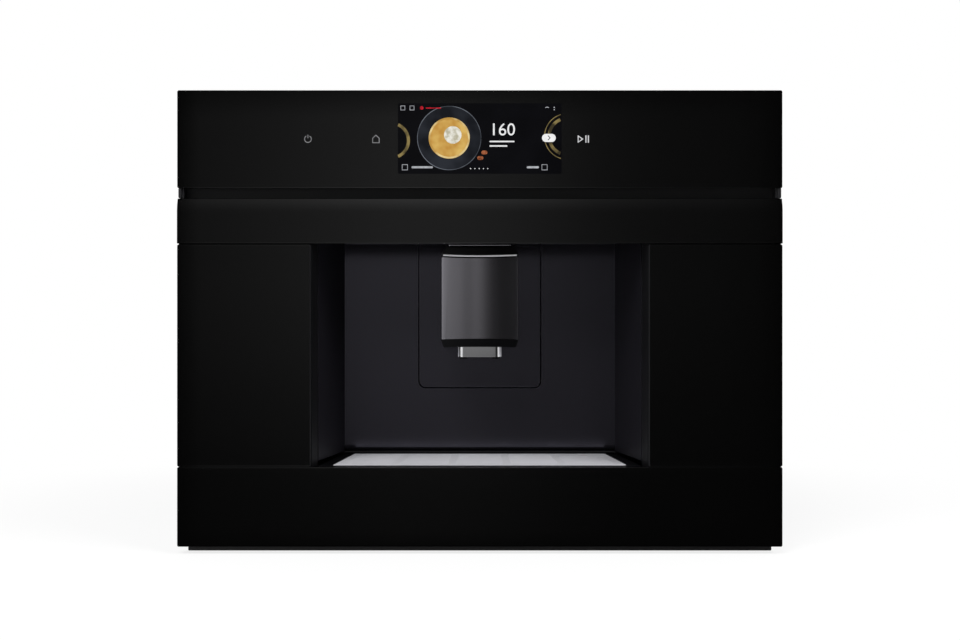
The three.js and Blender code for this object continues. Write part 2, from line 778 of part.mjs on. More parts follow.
// ---- Brew unit ---------------------------------------------------------------------------
function makeBrewUnit() {
  const frame = { x: [-266, -171], depth: [40, 166], z: [96, 248], wall: 4 };
  const { x, depth, bore } = BREW;
  const chuteHole = block(around(x, 13), [150, 170], [208, 238]);
  const casing = cut(
    block(frame.x, frame.depth, frame.z),
    block(
      [frame.x[0] + frame.wall, frame.x[1] - frame.wall],
      [frame.depth[0] - 1, frame.depth[1] - frame.wall],
      [frame.z[0] + frame.wall, frame.z[1] - frame.wall],
    ),
    chuteHole,
  );
  const chamber = cut(
    join(casing, post(x, depth, bore + 4, [99, 168], 32)),
    post(x, depth, bore, [124, 170], 32),
  );
  place(brewUnit, "brew_unit_frame", chamber, GREY_PLASTIC);

  const grip = block(around(-218, 26), [35, 37.5], [150, 176]);
  const front = block(frame.x, [36, frame.depth[0] - FIT], frame.z);
  place(brewUnit, "brew_unit_cover", cut(front, grip), BLACK_PLASTIC);

  const lever = { x: -226, z: 222, length: 34 };
  place(
    brewUnit,
    "latch_lever",
    join(
      bolt(lever.x, lever.z, 9, [30, 35.7]),
      block(around(lever.x, 5), [30, 34], [lever.z - lever.length, lever.z]),
    ),
    RED_PLASTIC,
  );

  const piston = join(
    post(x, depth, bore - 0.4, [193, 205], 32),
    post(x, depth, 6, [204, 229]),
    block([x - 8, SPINDLE.x + 9], around(depth, 8), [229, 241]),
    post(x, depth, 8, [229, 241]),
  );
  const nut = post(SPINDLE.x, depth, SPINDLE.radius + 0.4, [220, 250]);
  place(brewUnit, "brew_piston", cut(piston, nut), GREY_PLASTIC);

  const hub = { z: [104, 111], radius: 15 };
  place(
    brewUnit,
    "brew_spindle",
    join(
      post(SPINDLE.x, depth, SPINDLE.radius, [101, 243]),
      gearWheel(SPINDLE.x, depth, 24, hub.radius, hub.z, 0),
    ),
    BRASS,
  );
  const pinionDepth = depth + hub.radius * 1.5 + 0.5;
  place(
    brewUnit,
    "brew_pinion",
    join(
      gearWheel(SPINDLE.x, pinionDepth, 12, hub.radius / 2, hub.z, 0.5),
      post(SPINDLE.x, pinionDepth, 2, [110, 116]),
    ),
    BRASS,
  );
  const motor = cut(
    join(
      post(SPINDLE.x, pinionDepth, 11, [112, 160], 24),
      post(SPINDLE.x, pinionDepth, 5, [159, 164]),
    ),
    post(SPINDLE.x, pinionDepth, 2.4, [111, 117]),
  );
  place(brewUnit, "brew_motor", motor, DARK_STEEL);
}

// A spur gear with straight-sided teeth. The phase, in teeth, turns it about its axis.
function gearWheel(x, depth, teeth, pitchRadius, z, phase) {
  const module = (2 * pitchRadius) / teeth;
  const root = pitchRadius - 1.25 * module;
  const tip = pitchRadius + 0.85 * module;
  const points = [];
  for (let tooth = 0; tooth < teeth; tooth += 1) {
    const turn = (share) => ((tooth + phase + share) / teeth) * 2 * Math.PI + Math.PI / 2;
    for (const [radius, share] of [
      [root, -0.32],
      [tip, -0.1],
      [tip, 0.1],
      [root, 0.32],
    ]) {
      points.push([x + radius * Math.cos(turn(share)), depth + radius * Math.sin(turn(share))]);
    }
  }
  return upright(points, z);
}

// ---- Water circuit and electrics ---------------------------------------------------------
function makeWaterCircuit() {
  const pump = { x: 216, z: 70 };
  place(
    machine,
    "pump",
    join(
      bolt(pump.x, pump.z, 9, [196, 300]),
      bolt(pump.x, pump.z, 20, [216, 280], 28),
      block(around(pump.x, 16), [232, 262], [pump.z - 26, pump.z + 26]),
    ),
    DARK_STEEL,
  );
  const heater = { x: both(70), depth: [172, 222], z: [210, 290] };
  const fins = [];
  for (let i = 0; i < 6; i += 1) {
    fins.push(block([-71, 71], [216, 223], around(220 + i * 12, 2.5)));
  }
  place(machine, "thermoblock", cut(block(heater.x, heater.depth, heater.z), ...fins), ALUMINIUM);
  place(
    machine,
    "pressure_hose",
    hose(
      [
        [216, 300.3, 70],
        [216, 318, 70],
        [196, 332, 88],
        [120, 332, 130],
        [50, 300, 170],
        [30, 230, 180],
        [30, 197, 192],
        [30, 197, 209.6],
      ],
      3.2,
      44,
    ),
    SILICONE,
  );
  place(
    machine,
    "brew_hose",
    hose(
      [
        [-70.4, 197, 250],
        [-84, 197, 250],
        [-120, 192, 244],
        [-146, 166, 226],
        [-158, 150, 220],
        [-170.6, 150, 220],
      ],
      3.2,
      30,
    ),
    SILICONE,
  );
}

function makeElectrics() {
  const deck = { depth: [236, 366], z: [366, 367.5] };
  const components = [
    block([-96, -50], [250, 292], [372, 408]),
    block([-30, 0], [256, 286], [372, 396]),
    block([20, 44], [330, 350], [372, 390]),
    block([60, 100], [262, 278], [372, 398]),
    post(-70, 330, 11, [372, 404]),
    post(-36, 330, 11, [372, 404]),
    block([-112, -104], [254, 346], [372, 384]),
  ];
  const board = block(both(118), [244, 356], [371, 373]);
  const legs = [];
  for (const x of [-110, 110]) {
    for (const depth of [250, 350]) {
      legs.push(post(x, depth, 4, [deck.z[1] + FIT, 372], 12));
    }
  }
  place(machine, "power_board", join(board, ...components, ...legs), CIRCUIT_BOARD);
  place(machine, "equipment_deck", block(both(277), [30, 375], deck.z), ZINC_SHEET);

  const inlet = { x: [-245.5, -210.5], z: [38.5, 67.5] };
  const socket = cut(
    join(
      block([-244, -212], [352, 375], [40, 66]),
      block(inlet.x, [372, DEPTH], inlet.z),
    ),
    block([-240, -216], [358, DEPTH + 1], [44.5, 61.5]),
  );
  const pins = [-235, -228, -221].map((x, i) =>
    block(around(x, 1), [356, 366], around(53 + (i === 1 ? 3 : -1.5), 2)),
  );
  place(machine, "mains_inlet", join(socket, ...pins), BLACK_PLASTIC);
}

makeBody();
makeControlPanel();
makeHandleBar();
makeDoorGlass();
makeDoorFrame();
makeHinges();
makeNiche();
makeDripTray();
makeOutlet();
makeContainers();
makeGrinder();
makeBrewUnit();
makeWaterCircuit();
makeElectrics();

export default machine;
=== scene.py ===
"""A built-in coffee machine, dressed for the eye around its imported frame.

Sizes in the classes are millimetres and Blender works in metres. X runs to the right, Y to the back
and Z up; the front faces -Y. Depth means the distance back from the front glass.
"""

import json
import logging
import math
from contextlib import contextmanager
from dataclasses import dataclass, field
from enum import Enum
from typing import Callable, Iterator, Sequence

import bmesh
import bpy
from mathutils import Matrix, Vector

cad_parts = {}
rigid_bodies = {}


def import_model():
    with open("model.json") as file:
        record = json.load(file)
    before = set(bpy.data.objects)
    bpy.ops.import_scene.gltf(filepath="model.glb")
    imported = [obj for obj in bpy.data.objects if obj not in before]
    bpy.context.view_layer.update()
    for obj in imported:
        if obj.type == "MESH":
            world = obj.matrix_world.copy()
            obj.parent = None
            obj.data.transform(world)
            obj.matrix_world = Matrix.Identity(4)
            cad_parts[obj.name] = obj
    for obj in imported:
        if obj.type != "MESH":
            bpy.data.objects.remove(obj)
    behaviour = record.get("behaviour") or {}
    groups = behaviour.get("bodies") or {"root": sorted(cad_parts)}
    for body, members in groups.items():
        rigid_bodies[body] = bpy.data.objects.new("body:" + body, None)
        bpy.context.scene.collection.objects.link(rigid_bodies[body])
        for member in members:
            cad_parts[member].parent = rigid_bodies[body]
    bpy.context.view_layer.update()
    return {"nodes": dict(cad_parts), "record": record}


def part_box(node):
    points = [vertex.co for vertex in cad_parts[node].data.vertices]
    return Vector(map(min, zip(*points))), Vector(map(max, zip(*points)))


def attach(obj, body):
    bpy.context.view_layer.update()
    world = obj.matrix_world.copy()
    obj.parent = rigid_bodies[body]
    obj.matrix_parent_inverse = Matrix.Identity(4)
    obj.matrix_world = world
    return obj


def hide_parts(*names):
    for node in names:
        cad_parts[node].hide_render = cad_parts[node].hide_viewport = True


log = logging.getLogger("coffee_machine")

MM = 0.001
HALF_DEPTH = 188.5  # from the front glass back to the middle of the machine
AHEAD = 0.9  # the least share of a direction that counts as looking or running that way
NEAR = 0.1  # how far an edge may lie from the place where it is looked for
TOUCH = 0.01  # corners closer than this become one
CUT = 2.0  # how far a cutter stands out of what it cuts
QUARTER = math.pi / 2

Span = tuple[float, float]
Spot = tuple[float, float]
Test = Callable[[Vector, Vector], bool]
Piece = bpy.types.Object
Tree = bpy.types.NodeTree
Node = bpy.types.Node
Socket = bpy.types.NodeSocket


class Body(Enum):
    """The bodies of the frame that pieces ride on."""

    CHASSIS = "chassis"
    DOOR = "door"
    OUTLET = "outlet"
    GRATE = "grate"
    FLOAT = "float"
    GRIND_SELECTOR = "grind_selector"
    LATCH = "latch"


class Slot(Enum):
    """The record's material slots."""

    BLACK_GLASS = "black_glass"
    DISPLAY = "display"
    BLACK_METAL = "black_metal"
    BLACK_PLASTIC = "black_plastic"
    NICHE_PLASTIC = "niche_plastic"
    DARK_STEEL = "dark_steel"
    STEEL = "steel"
    ZINC_SHEET = "zinc_sheet"
    GREY_PLASTIC = "grey_plastic"
    CLEAR_PLASTIC = "clear_plastic"
    CIRCUIT_BOARD = "circuit_board"
    ALUMINIUM = "aluminium"
    BRASS = "brass"
    RED_PLASTIC = "red_plastic"
    DIFFUSER = "diffuser"
    SILICONE = "silicone"


class Side(Enum):
    """The six ways out of a block."""

    LEFT = Vector((-1, 0, 0))
    RIGHT = Vector((1, 0, 0))
    FRONT = Vector((0, -1, 0))
    BACK = Vector((0, 1, 0))
    UP = Vector((0, 0, 1))
    DOWN = Vector((0, 0, -1))


class Lie(Enum):
    """The way a round bar lies, as its turn about X, Y and Z."""

    UPRIGHT = (0.0, 0.0, 0.0)
    BACK = (QUARTER, 0.0, 0.0)


# ---- Placing ---------------------------------------------------------------------------------
def point(x: float, depth: float, z: float) -> Vector:
    """A point in metres.

    Args:
        x: millimetres to the right of the middle.
        depth: millimetres behind the front glass.
        z: millimetres above the underside.

    Returns:
        The point in the shared frame.
    """
    return Vector((x, depth - HALF_DEPTH, z)) * MM


def gauge(place: Vector) -> Vector:
    """A place in millimetres as X, depth and Z."""
    return Vector((place.x / MM, place.y / MM + HALF_DEPTH, place.z / MM))


def both(half: float) -> Span:
    """The range from -half to half."""
    return (-half, half)


def around(centre: float, half: float) -> Span:
    """The range that reaches half to each side of a centre."""
    return (centre - half, centre + half)


def grown(span: Span, more: float = CUT) -> Span:
    """A range made longer at both ends."""
    return (span[0] - more, span[1] + more)


def toward(side: int, inner: float, outer: float) -> Span:
    """The range between two distances from the middle, to the left (-1) or to the right (1)."""
    return (inner, outer) if side > 0 else (-outer, -inner)


def node_spans(node: str) -> tuple[Span, Span, Span]:
    """The X, depth and Z ranges of a frame node, in millimetres.

    Args:
        node: the node's name.

    Returns:
        Three (low, high) ranges.
    """
    low, high = (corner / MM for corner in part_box(node))
    depth = (low.y + HALF_DEPTH, high.y + HALF_DEPTH)
    return (low.x, high.x), depth, (low.z, high.z)


# ---- Bench: the modelling operators ----------------------------------------------------------
def deselect() -> None:
    """Leaves nothing selected."""
    for other in bpy.context.view_layer.objects:
        other.select_set(False)


def activate(piece: Piece) -> None:
    """Makes one object the only selected and active one.

    Args:
        piece: the object.
    """
    deselect()
    piece.select_set(True)
    bpy.context.view_layer.objects.active = piece


@contextmanager
def editing(piece: Piece, kind: str = "FACE", everything: bool = False) -> Iterator[None]:
    """Edit mode on one piece.

    Args:
        piece: the mesh object to edit.
        kind: VERT, EDGE or FACE selection.
        everything: whether all of it is selected at the start, or nothing.

    Yields:
        Nothing; what the block does, it does in edit mode.
    """
    activate(piece)
    bpy.ops.object.mode_set(mode="EDIT")
    bpy.ops.mesh.select_mode(type=kind)
    bpy.ops.mesh.select_all(action="SELECT" if everything else "DESELECT")
    yield
    bpy.ops.object.mode_set(mode="OBJECT")


def facing(*sides: Side, least: float = AHEAD) -> Test:
    """A test for the faces that look out at one of some sides."""
    return lambda centre, normal: any(normal.dot(side.value) > least for side in sides)


def along(side: Side) -> Test:
    """A test for the edges that run straight out at a side."""
    return lambda middle, way: abs(way.dot(side.value)) > AHEAD


def pick_faces(piece: Piece, test: Test) -> None:
    """Selects faces in edit mode.

    Args:
        piece: the object in edit mode.
        test: says yes to a face's centre, in millimetres from the front glass, and its normal.
    """
    mesh = bmesh.from_edit_mesh(piece.data)
    for face in [f for f in mesh.faces if test(gauge(f.calc_center_median()), f.normal)]:
        face.select_set(True)
    bmesh.update_edit_mesh(piece.data)


def pick_edges(piece: Piece, test: Test) -> int:
    """Selects edges in edit mode.

    Args:
        piece: the object in edit mode.
        test: says yes to an edge's middle, in millimetres from the front glass, and its direction.

    Returns:
        How many edges were picked.
    """
    mesh = bmesh.from_edit_mesh(piece.data)
    picked = 0
    for edge in mesh.edges:
        first, last = (v.co for v in edge.verts)
        way = (last - first).normalized()
        if test(gauge((first + last) / 2), Vector(abs(c) for c in way)):
            edge.select_set(True)
            picked += 1
    bmesh.update_edit_mesh(piece.data)
    return picked


def extrude(y: float = 0, z: float = 0) -> None:
    """Extrudes what is selected, by millimetres to the back and upwards."""
    bpy.ops.mesh.extrude_region_move(TRANSFORM_OT_translate={"value": (0, y * MM, z * MM)})


def squeeze(ratio: float) -> None:
    """Narrows what is selected toward the middle of the machine."""
    bpy.ops.transform.resize(value=(ratio, 1, 1), center_override=(0, 0, 0))


def new_piece(name: str) -> Piece:
    """Names the primitive that was just added and puts its place into its mesh.

    Args:
        name: the piece's name.

    Returns:
        The object, standing at the origin.
    """
    piece = bpy.context.active_object
    piece.name = name
    piece.data.name = name
    bpy.ops.object.transform_apply(location=True, rotation=True, scale=True)
    return piece


def block(name: str, x: Span, depth: Span, z: Span) -> Piece:
    """A rectangular starting block.

    Args:
        name: the piece's name.
        x: its range from side to side.
        depth: its range from the front glass back.
        z: its range upwards.

    Returns:
        The new mesh object.
    """
    low = point(x[0], depth[0], z[0])
    high = point(x[1], depth[1], z[1])
    deselect()
    bpy.ops.mesh.primitive_cube_add(size=1, location=(low + high) / 2, scale=high - low)
    return new_piece(name)


def bar(
    name: str, centre: Vector, radius: float, length: float, lie: Lie, sides: int = 32
) -> Piece:
    """A round starting bar.

    Args:
        name: the piece's name.
        centre: its middle, in metres.
        radius: its radius in millimetres.
        length: its length in millimetres.
        lie: the way it lies.
        sides: the corners of its section.

    Returns:
        The new mesh object.
    """
    deselect()
    bpy.ops.mesh.primitive_cylinder_add(
        vertices=sides,
        radius=radius * MM,
        depth=length * MM,
        location=centre,
        rotation=lie.value,
    )
    return new_piece(name)


def apply_modifier(piece: Piece, kind: str, **settings: object) -> None:
    """Adds one modifier and applies it.

    Args:
        piece: the object it works on.
        kind: the modifier's type.
        settings: its properties.
    """
    activate(piece)
    modifier = piece.modifiers.new(kind.lower(), kind)
    for name, value in settings.items():
        setattr(modifier, name, value)
    bpy.ops.object.modifier_apply(modifier=modifier.name)


def carve(piece: Piece, *cutters: Piece) -> None:
    """Cuts other shapes out of a piece and removes them.

    Args:
        piece: what is cut.
        cutters: the shapes, one after the other.
    """
    for cutter in cutters:
        apply_modifier(piece, "BOOLEAN", operation="DIFFERENCE", object=cutter, solver="EXACT")
        bpy.data.objects.remove(cutter)


def weld(name: str, parts: Sequence[Piece]) -> Piece:
    """Joins several objects into one.

    Args:
        name: the name of the whole.
        parts: the objects, of which the first one stays.

    Returns:
        The joined object.
    """
    deselect()
    for part in parts:
        part.select_set(True)
    bpy.context.view_layer.objects.active = parts[0]
    bpy.ops.object.join()
    parts[0].name = name
    parts[0].data.name = name
    return parts[0]


def copied(piece: Piece, name: str) -> Piece:
    """A copy with a mesh of its own, which is then the only one selected.

    Args:
        piece: what is copied.
        name: the copy's name.

    Returns:
        The copy.
    """
    double = bpy.data.objects.new(name, piece.data.copy())
    double.data.name = name
    bpy.context.scene.collection.objects.link(double)
    activate(double)
    return double


def bevel_edges(piece: Piece, test: Test, width: float, segments: int = 3) -> None:
    """Rounds the picked edges.

    Args:
        piece: the object.
        test: which edges, by middle and direction.
        width: the rounding's width in millimetres.
        segments: its steps.
    """
    with editing(piece, "EDGE"):
        if pick_edges(piece, test):
            bpy.ops.mesh.bevel(offset=width * MM, segments=segments, affect="EDGES")


def round_edges(piece: Piece, width: float, segments: int = 2, angle: float = 30) -> None:
    """Rounds every edge sharper than an angle.

    Args:
        piece: the object.
        width: the rounding's width in millimetres.
        segments: its steps.
        angle: the least angle in degrees.
    """
    apply_modifier(
        piece,
        "BEVEL",
        width=width * MM,
        segments=segments,
        limit_method="ANGLE",
        angle_limit=math.radians(angle),
    )


def smooth(piece: Piece, angle: float = 35) -> Piece:
    """Shades a piece smooth where it bends less than an angle, and keeps its large faces flat.

    Args:
        piece: the object.
        angle: the angle in degrees.

    Returns:
        The same object.
    """
    activate(piece)
    bpy.ops.object.shade_smooth_by_angle(angle=math.radians(angle))
    apply_modifier(piece, "WEIGHTED_NORMAL", keep_sharp=True)
    return piece


def eased(node: str, width: float) -> Piece:
    """A copy of a frame node with its facets merged and its edges eased.

    Args:
        node: the node's name.
        width: the width of the eased edges in millimetres.

    Returns:
        The new object, named after the node.
    """
    piece = copied(bpy.data.objects[node], f"{node}_eased")
    piece.data.materials.clear()
    with editing(piece, everything=True):
        bpy.ops.mesh.remove_doubles(threshold=TOUCH * MM)
        bpy.ops.mesh.dissolve_limited(angle_limit=math.radians(1))
    round_edges(piece, width)
    return smooth(piece)


# ---- Finishes --------------------------------------------------------------------------------
def linear(colour: str) -> tuple[float, float, float, float]:
    """Turns an sRGB hex colour into Blender's linear one.

    Args:
        colour: six hex digits.

    Returns:
        Red, green, blue and alpha.
    """
    levels = (int(colour[i : i + 2], 16) / 255 for i in (0, 2, 4))
    lines = (c / 12.92 if c <= 0.04045 else ((c + 0.055) / 1.055) ** 2.4 for c in levels)
    return (*lines, 1.0)


def add_node(
    tree: Tree,
    kind: str,
    values: dict[str | int, object] | None = None,
    links: dict[str | int, Socket] | None = None,
    **settings: object,
) -> Node:
    """Adds one shader node.

    Args:
        tree: the material's node tree.
        kind: the node's type.
        values: numbers and colours for its inputs.
        links: what feeds its inputs.
        settings: its own properties.

    Returns:
        The node.
    """
    node = tree.nodes.new(kind)
    for name, value in settings.items():
        setattr(node, name, value)
    for socket, value in (values or {}).items():
        node.inputs[socket].default_value = value
    for socket, source in (links or {}).items():
        tree.links.new(source, node.inputs[socket])
    return node


def ramp(tree: Tree, source: Socket, stops: Sequence[tuple[float, Sequence[float]]]) -> Socket:
    """Maps a number to colours.

    Args:
        tree: the node tree.
        source: the number, from 0 to 1.
        stops: places and linear colours.

    Returns:
        The colour output.
    """
    node = add_node(tree, "ShaderNodeValToRGB", links={"Fac": source})
    scale = node.color_ramp
    while len(scale.elements) < len(stops):
        scale.elements.new(0.5)
    for element, (place, colour) in zip(scale.elements, stops):
        element.position = place
        element.color = colour
    return node.outputs["Color"]


@dataclass(frozen=True)
class Finish:
    """What all finishes share: a solid of one colour with an even gloss."""

    name: str
    colour: str
    roughness: float = 0.5
    metallic: float = 0.0
    ior: float = 1.5

    def material(self) -> bpy.types.Material:
        """The Blender material, made the first time it is asked for.

        Returns:
            The material.
        """
        made = bpy.data.materials.get(self.name)
        if made is None:
            made = bpy.data.materials.new(self.name)
            made.use_nodes = True
            shader = made.node_tree.nodes["Principled BSDF"]
            shader.inputs["Base Color"].default_value = linear(self.colour)
            shader.inputs["Roughness"].default_value = self.roughness
            shader.inputs["Metallic"].default_value = self.metallic
            if not self.metallic:
                shader.inputs["IOR"].default_value = self.ior
            self.dress(made.node_tree, shader)
        return made

    def dress(self, tree: Tree, shader: Node) -> None:
        """Adds the surface's own detail; each finish has its own.

        Args:
            tree: the material's node tree.
            shader: its surface shader.
        """

    def place(self, tree: Tree, pitch: Sequence[float]) -> Socket:
        """Object coordinates counted in repeats of a pattern.

        Args:
            tree: the node tree.
            pitch: the pattern's size in millimetres along X, Y and Z.

        Returns:
            The vector output.
        """
        source = add_node(tree, "ShaderNodeTexCoord").outputs["Object"]
        scale = tuple(1 / (size * MM) for size in pitch)
        return add_node(tree, "ShaderNodeMapping", {"Scale": scale}, {"Vector": source}).outputs[0]

    def noise(self, tree: Tree, pitch: Sequence[float], detail: float = 3) -> Socket:
        """Cloudy variation.

        Args:
            tree: the node tree.
            pitch: the size of a cloud in millimetres along X, Y and Z.
            detail: how many finer layers it has.

        Returns:
            A number around one half.
        """
        values = {"Scale": 1.0, "Detail": detail}
        links = {"Vector": self.place(tree, pitch)}
        return add_node(tree, "ShaderNodeTexNoise", values, links).outputs[0]

    def vary_roughness(self, tree: Tree, shader: Node, source: Socket, swing: float) -> None:
        """Lets a number from 0 to 1 swing the roughness about its middle.

        Args:
            tree: the node tree.
            shader: the surface shader.
            source: the number.
            swing: how far it goes each way.
        """
        values = {"To Min": self.roughness - swing, "To Max": self.roughness + swing}
        spread = add_node(tree, "ShaderNodeMapRange", values, {"Value": source})
        tree.links.new(spread.outputs[0], shader.inputs["Roughness"])

    def vary_colour(self, tree: Tree, shader: Node, source: Socket, other: str) -> None:
        """Lets a number from 0 to 1 blend from another colour to the finish's own.

        Args:
            tree: the node tree.
            shader: the surface shader.
            source: the number.
            other: the other colour.
        """
        mixed = ramp(tree, source, [(0.3, linear(other)), (0.7, linear(self.colour))])
        tree.links.new(mixed, shader.inputs["Base Color"])

    def emboss(self, tree: Tree, shader: Node, source: Socket, height: float) -> None:
        """Raises the surface by a number from 0 to 1.

        Args:
            tree: the node tree.
            shader: the surface shader.
            source: the number.
            height: the greatest height in millimetres.
        """
        values = {"Strength": 1.0, "Distance": height * MM}
        bump = add_node(tree, "ShaderNodeBump", values, {"Height": source})
        tree.links.new(bump.outputs[0], shader.inputs["Normal"])


@dataclass(frozen=True)
class Fade:
    """How a gloss is taken down toward an edge, by the distance from the middle or the floor:
    painted shade on the reflection.
    """

    start: float
    edge: float
    least: float


@dataclass(frozen=True)
class FloatGlass(Finish):
    """Polished float glass printed black behind: a mirror gloss that is taken down toward the rim
    as painted shade.
    """

    wave: float = 90.0
    ripple: float = 0.01
    wipe: float = 35.0
    haze: float = 0.015
    shine: float = 0.5  # the shader's normal specular level
    # painted shade: the reflection is dimmed toward the sides, the top and the foot of each pane
    at_sides: Fade = Fade(275.0, 297.0, 0.1)
    at_top: Fade = Fade(428.0, 455.0, 0.42)
    at_foot: Fade = Fade(22.0, 7.0, 0.3)

    def dress(self, tree: Tree, shader: Node) -> None:
        """Adds the wipe marks, the slow waviness of rolled glass and the painted shade along the
        rim.
        """
        wipes = self.noise(tree, (self.wipe * 3, self.wipe, self.wipe))
        self.vary_roughness(tree, shader, wipes, self.haze)
        self.emboss(tree, shader, self.noise(tree, (self.wave,) * 3, 0), self.ripple)
        place = add_node(tree, "ShaderNodeTexCoord").outputs["Object"]
        x, _, z = add_node(tree, "ShaderNodeSeparateXYZ", links={0: place}).outputs
        off = add_node(tree, "ShaderNodeMath", links={0: x}, operation="ABSOLUTE").outputs[0]
        left = None
        for across, fade in ((off, self.at_sides), (z, self.at_top), (z, self.at_foot)):
            left = self.fade(tree, across, fade, left)
        level = add_node(tree, "ShaderNodeMath", {1: self.shine}, {0: left}, operation="MULTIPLY")
        tree.links.new(level.outputs[0], shader.inputs["Specular IOR Level"])

    def fade(self, tree: Tree, place: Socket, fade: Fade, before: Socket | None) -> Socket:
        """Takes the shine down toward an edge.

        Args:
            tree: the node tree.
            place: the coordinate across the edge, in metres.
            fade: where it starts and ends, and what it leaves.
            before: the share of the shine before this edge, if another edge took some.

        Returns:
            The share of the shine that is left.
        """
        values = {
            "From Min": fade.start * MM,
            "From Max": fade.edge * MM,
            "To Min": 1.0,
            "To Max": fade.least,
        }
        share = add_node(tree, "ShaderNodeMapRange", values, {"Value": place}).outputs[0]
        if before is None:
            return share
        links = {0: before, 1: share}
        return add_node(tree, "ShaderNodeMath", links=links, operation="MULTIPLY").outputs[0]


@dataclass(frozen=True)
class MouldedPlastic(Finish):
    """Injection-moulded plastic with a fine spark-eroded grain that scatters the light softly."""

    grain: float = 0.9
    height: float = 0.02
    shade: str = ""
    sheen: str = "ffffff"
    cloud: float = 60.0
    swing: float = 0.05

    def dress(self, tree: Tree, shader: Node) -> None:
        """Adds the grain, drawn at about twice its real size so that it shows, and sheen marks."""
        shader.inputs["Specular Tint"].default_value = linear(self.sheen)
        self.emboss(tree, shader, self.noise(tree, (self.grain,) * 3, 2), self.height)
        clouds = self.noise(tree, (self.cloud,) * 3)
        self.vary_roughness(tree, shader, clouds, self.swing)
        if self.shade:
            self.vary_colour(tree, shader, clouds, self.shade)


@dataclass(frozen=True)
class BrushedMetal(Finish):
    """Metal with brush lines that run one way and draw its highlights out across them."""

    line: tuple[float, float, float] = (120.0, 0.5, 0.5)
    height: float = 0.004
    shade: str = ""
    swing: float = 0.08

    def dress(self, tree: Tree, shader: Node) -> None:
        """Adds the brush lines, drawn about twice as wide as the real ones."""
        lines = self.noise(tree, self.line, 4)
        self.vary_roughness(tree, shader, lines, self.swing)
        self.emboss(tree, shader, lines, self.height)
        if self.shade:
            self.vary_colour(tree, shader, lines, self.shade)


@dataclass(frozen=True)
class GalvanisedSheet(Finish):
    """Hot-dipped steel sheet: zinc crystals about a centimetre wide, each with its own shade."""

    spangle: float = 9.0
    shade: str = "a6a9ab"
    film: float = 2.0
    height: float = 0.01
    swing: float = 0.03

    def dress(self, tree: Tree, shader: Node) -> None:
        """Adds the crystals and the dull film over them."""
        values = {"Scale": 1.0, "Randomness": 1.0}
        links = {"Vector": self.place(tree, (self.spangle,) * 3)}
        cells = add_node(tree, "ShaderNodeTexVoronoi", values, links).outputs["Color"]
        level = add_node(tree, "ShaderNodeSeparateColor", links={"Color": cells}).outputs[0]
        self.vary_colour(tree, shader, level, self.shade)
        self.vary_roughness(tree, shader, level, self.swing)
        self.emboss(tree, shader, self.noise(tree, (self.film,) * 3), self.height)


@dataclass(frozen=True)
class ClearPlastic(Finish):
    """Clear moulded plastic with a slight smoke tint."""

    haze: float = 25.0
    swing: float = 0.03
    clearness: float = 0.9

    def dress(self, tree: Tree, shader: Node) -> None:
        """Lets the light through and adds a faint mould haze."""
        shader.inputs["Transmission Weight"].default_value = self.clearness
        self.vary_roughness(tree, shader, self.noise(tree, (self.haze,) * 3), self.swing)


@dataclass(frozen=True)
class OpalLamp(Finish):
    """An opal diffuser with light-emitting diodes behind it."""

    strength: float = 0.3
    pitch: float = 16.0

    def dress(self, tree: Tree, shader: Node) -> None:
        """Adds the glow, a little stronger over each diode."""
        spots = self.noise(tree, (self.pitch,) * 3, 0)
        glow = ramp(tree, spots, [(0.2, linear("f1ece2")), (0.8, linear("ffffff"))])
        tree.links.new(glow, shader.inputs["Emission Color"])
        shader.inputs["Emission Strength"].default_value = self.strength


@dataclass(frozen=True)
class ScreenInk(Finish):
    """A lit part of the screen's picture, or a lit key, under gloss glass."""

    roughness: float = 0.05
    shade: str = "000000"
    cloud: float = 5.0
    strength: float = 1.0
    gloss: float = 0.08

    def dress(self, tree: Tree, shader: Node) -> None:
        """Lights the picture and lets it drift softly between two colours."""
        clouds = self.noise(tree, (self.cloud,) * 3, 2)
        drift = ramp(tree, clouds, [(0.38, linear(self.shade)), (0.62, linear(self.colour))])
        tree.links.new(drift, shader.inputs["Emission Color"])
        shader.inputs["Emission Strength"].default_value = self.strength
        shader.inputs["Base Color"].default_value = linear("020203")
        shader.inputs["Specular IOR Level"].default_value = self.gloss


@dataclass(frozen=True)
class SolderMask(Finish):
    """A circuit board's lacquer with copper tracks showing through."""

    track: float = 2.2
    copper: str = "3f7d52"
    height: float = 0.02

    def dress(self, tree: Tree, shader: Node) -> None:
        """Draws the tracks as a lighter web and raises them slightly."""
        links = {"Vector": self.place(tree, (self.track * 4, self.track, self.track))}
        web = add_node(
            tree, "ShaderNodeTexVoronoi", {"Scale": 1.0}, links, feature="DISTANCE_TO_EDGE"
        ).outputs["Distance"]
        lines = ramp(tree, web, [(0.04, linear(self.copper)), (0.08, linear(self.colour))])
        tree.links.new(lines, shader.inputs["Base Color"])
        self.emboss(tree, shader, web, self.height)


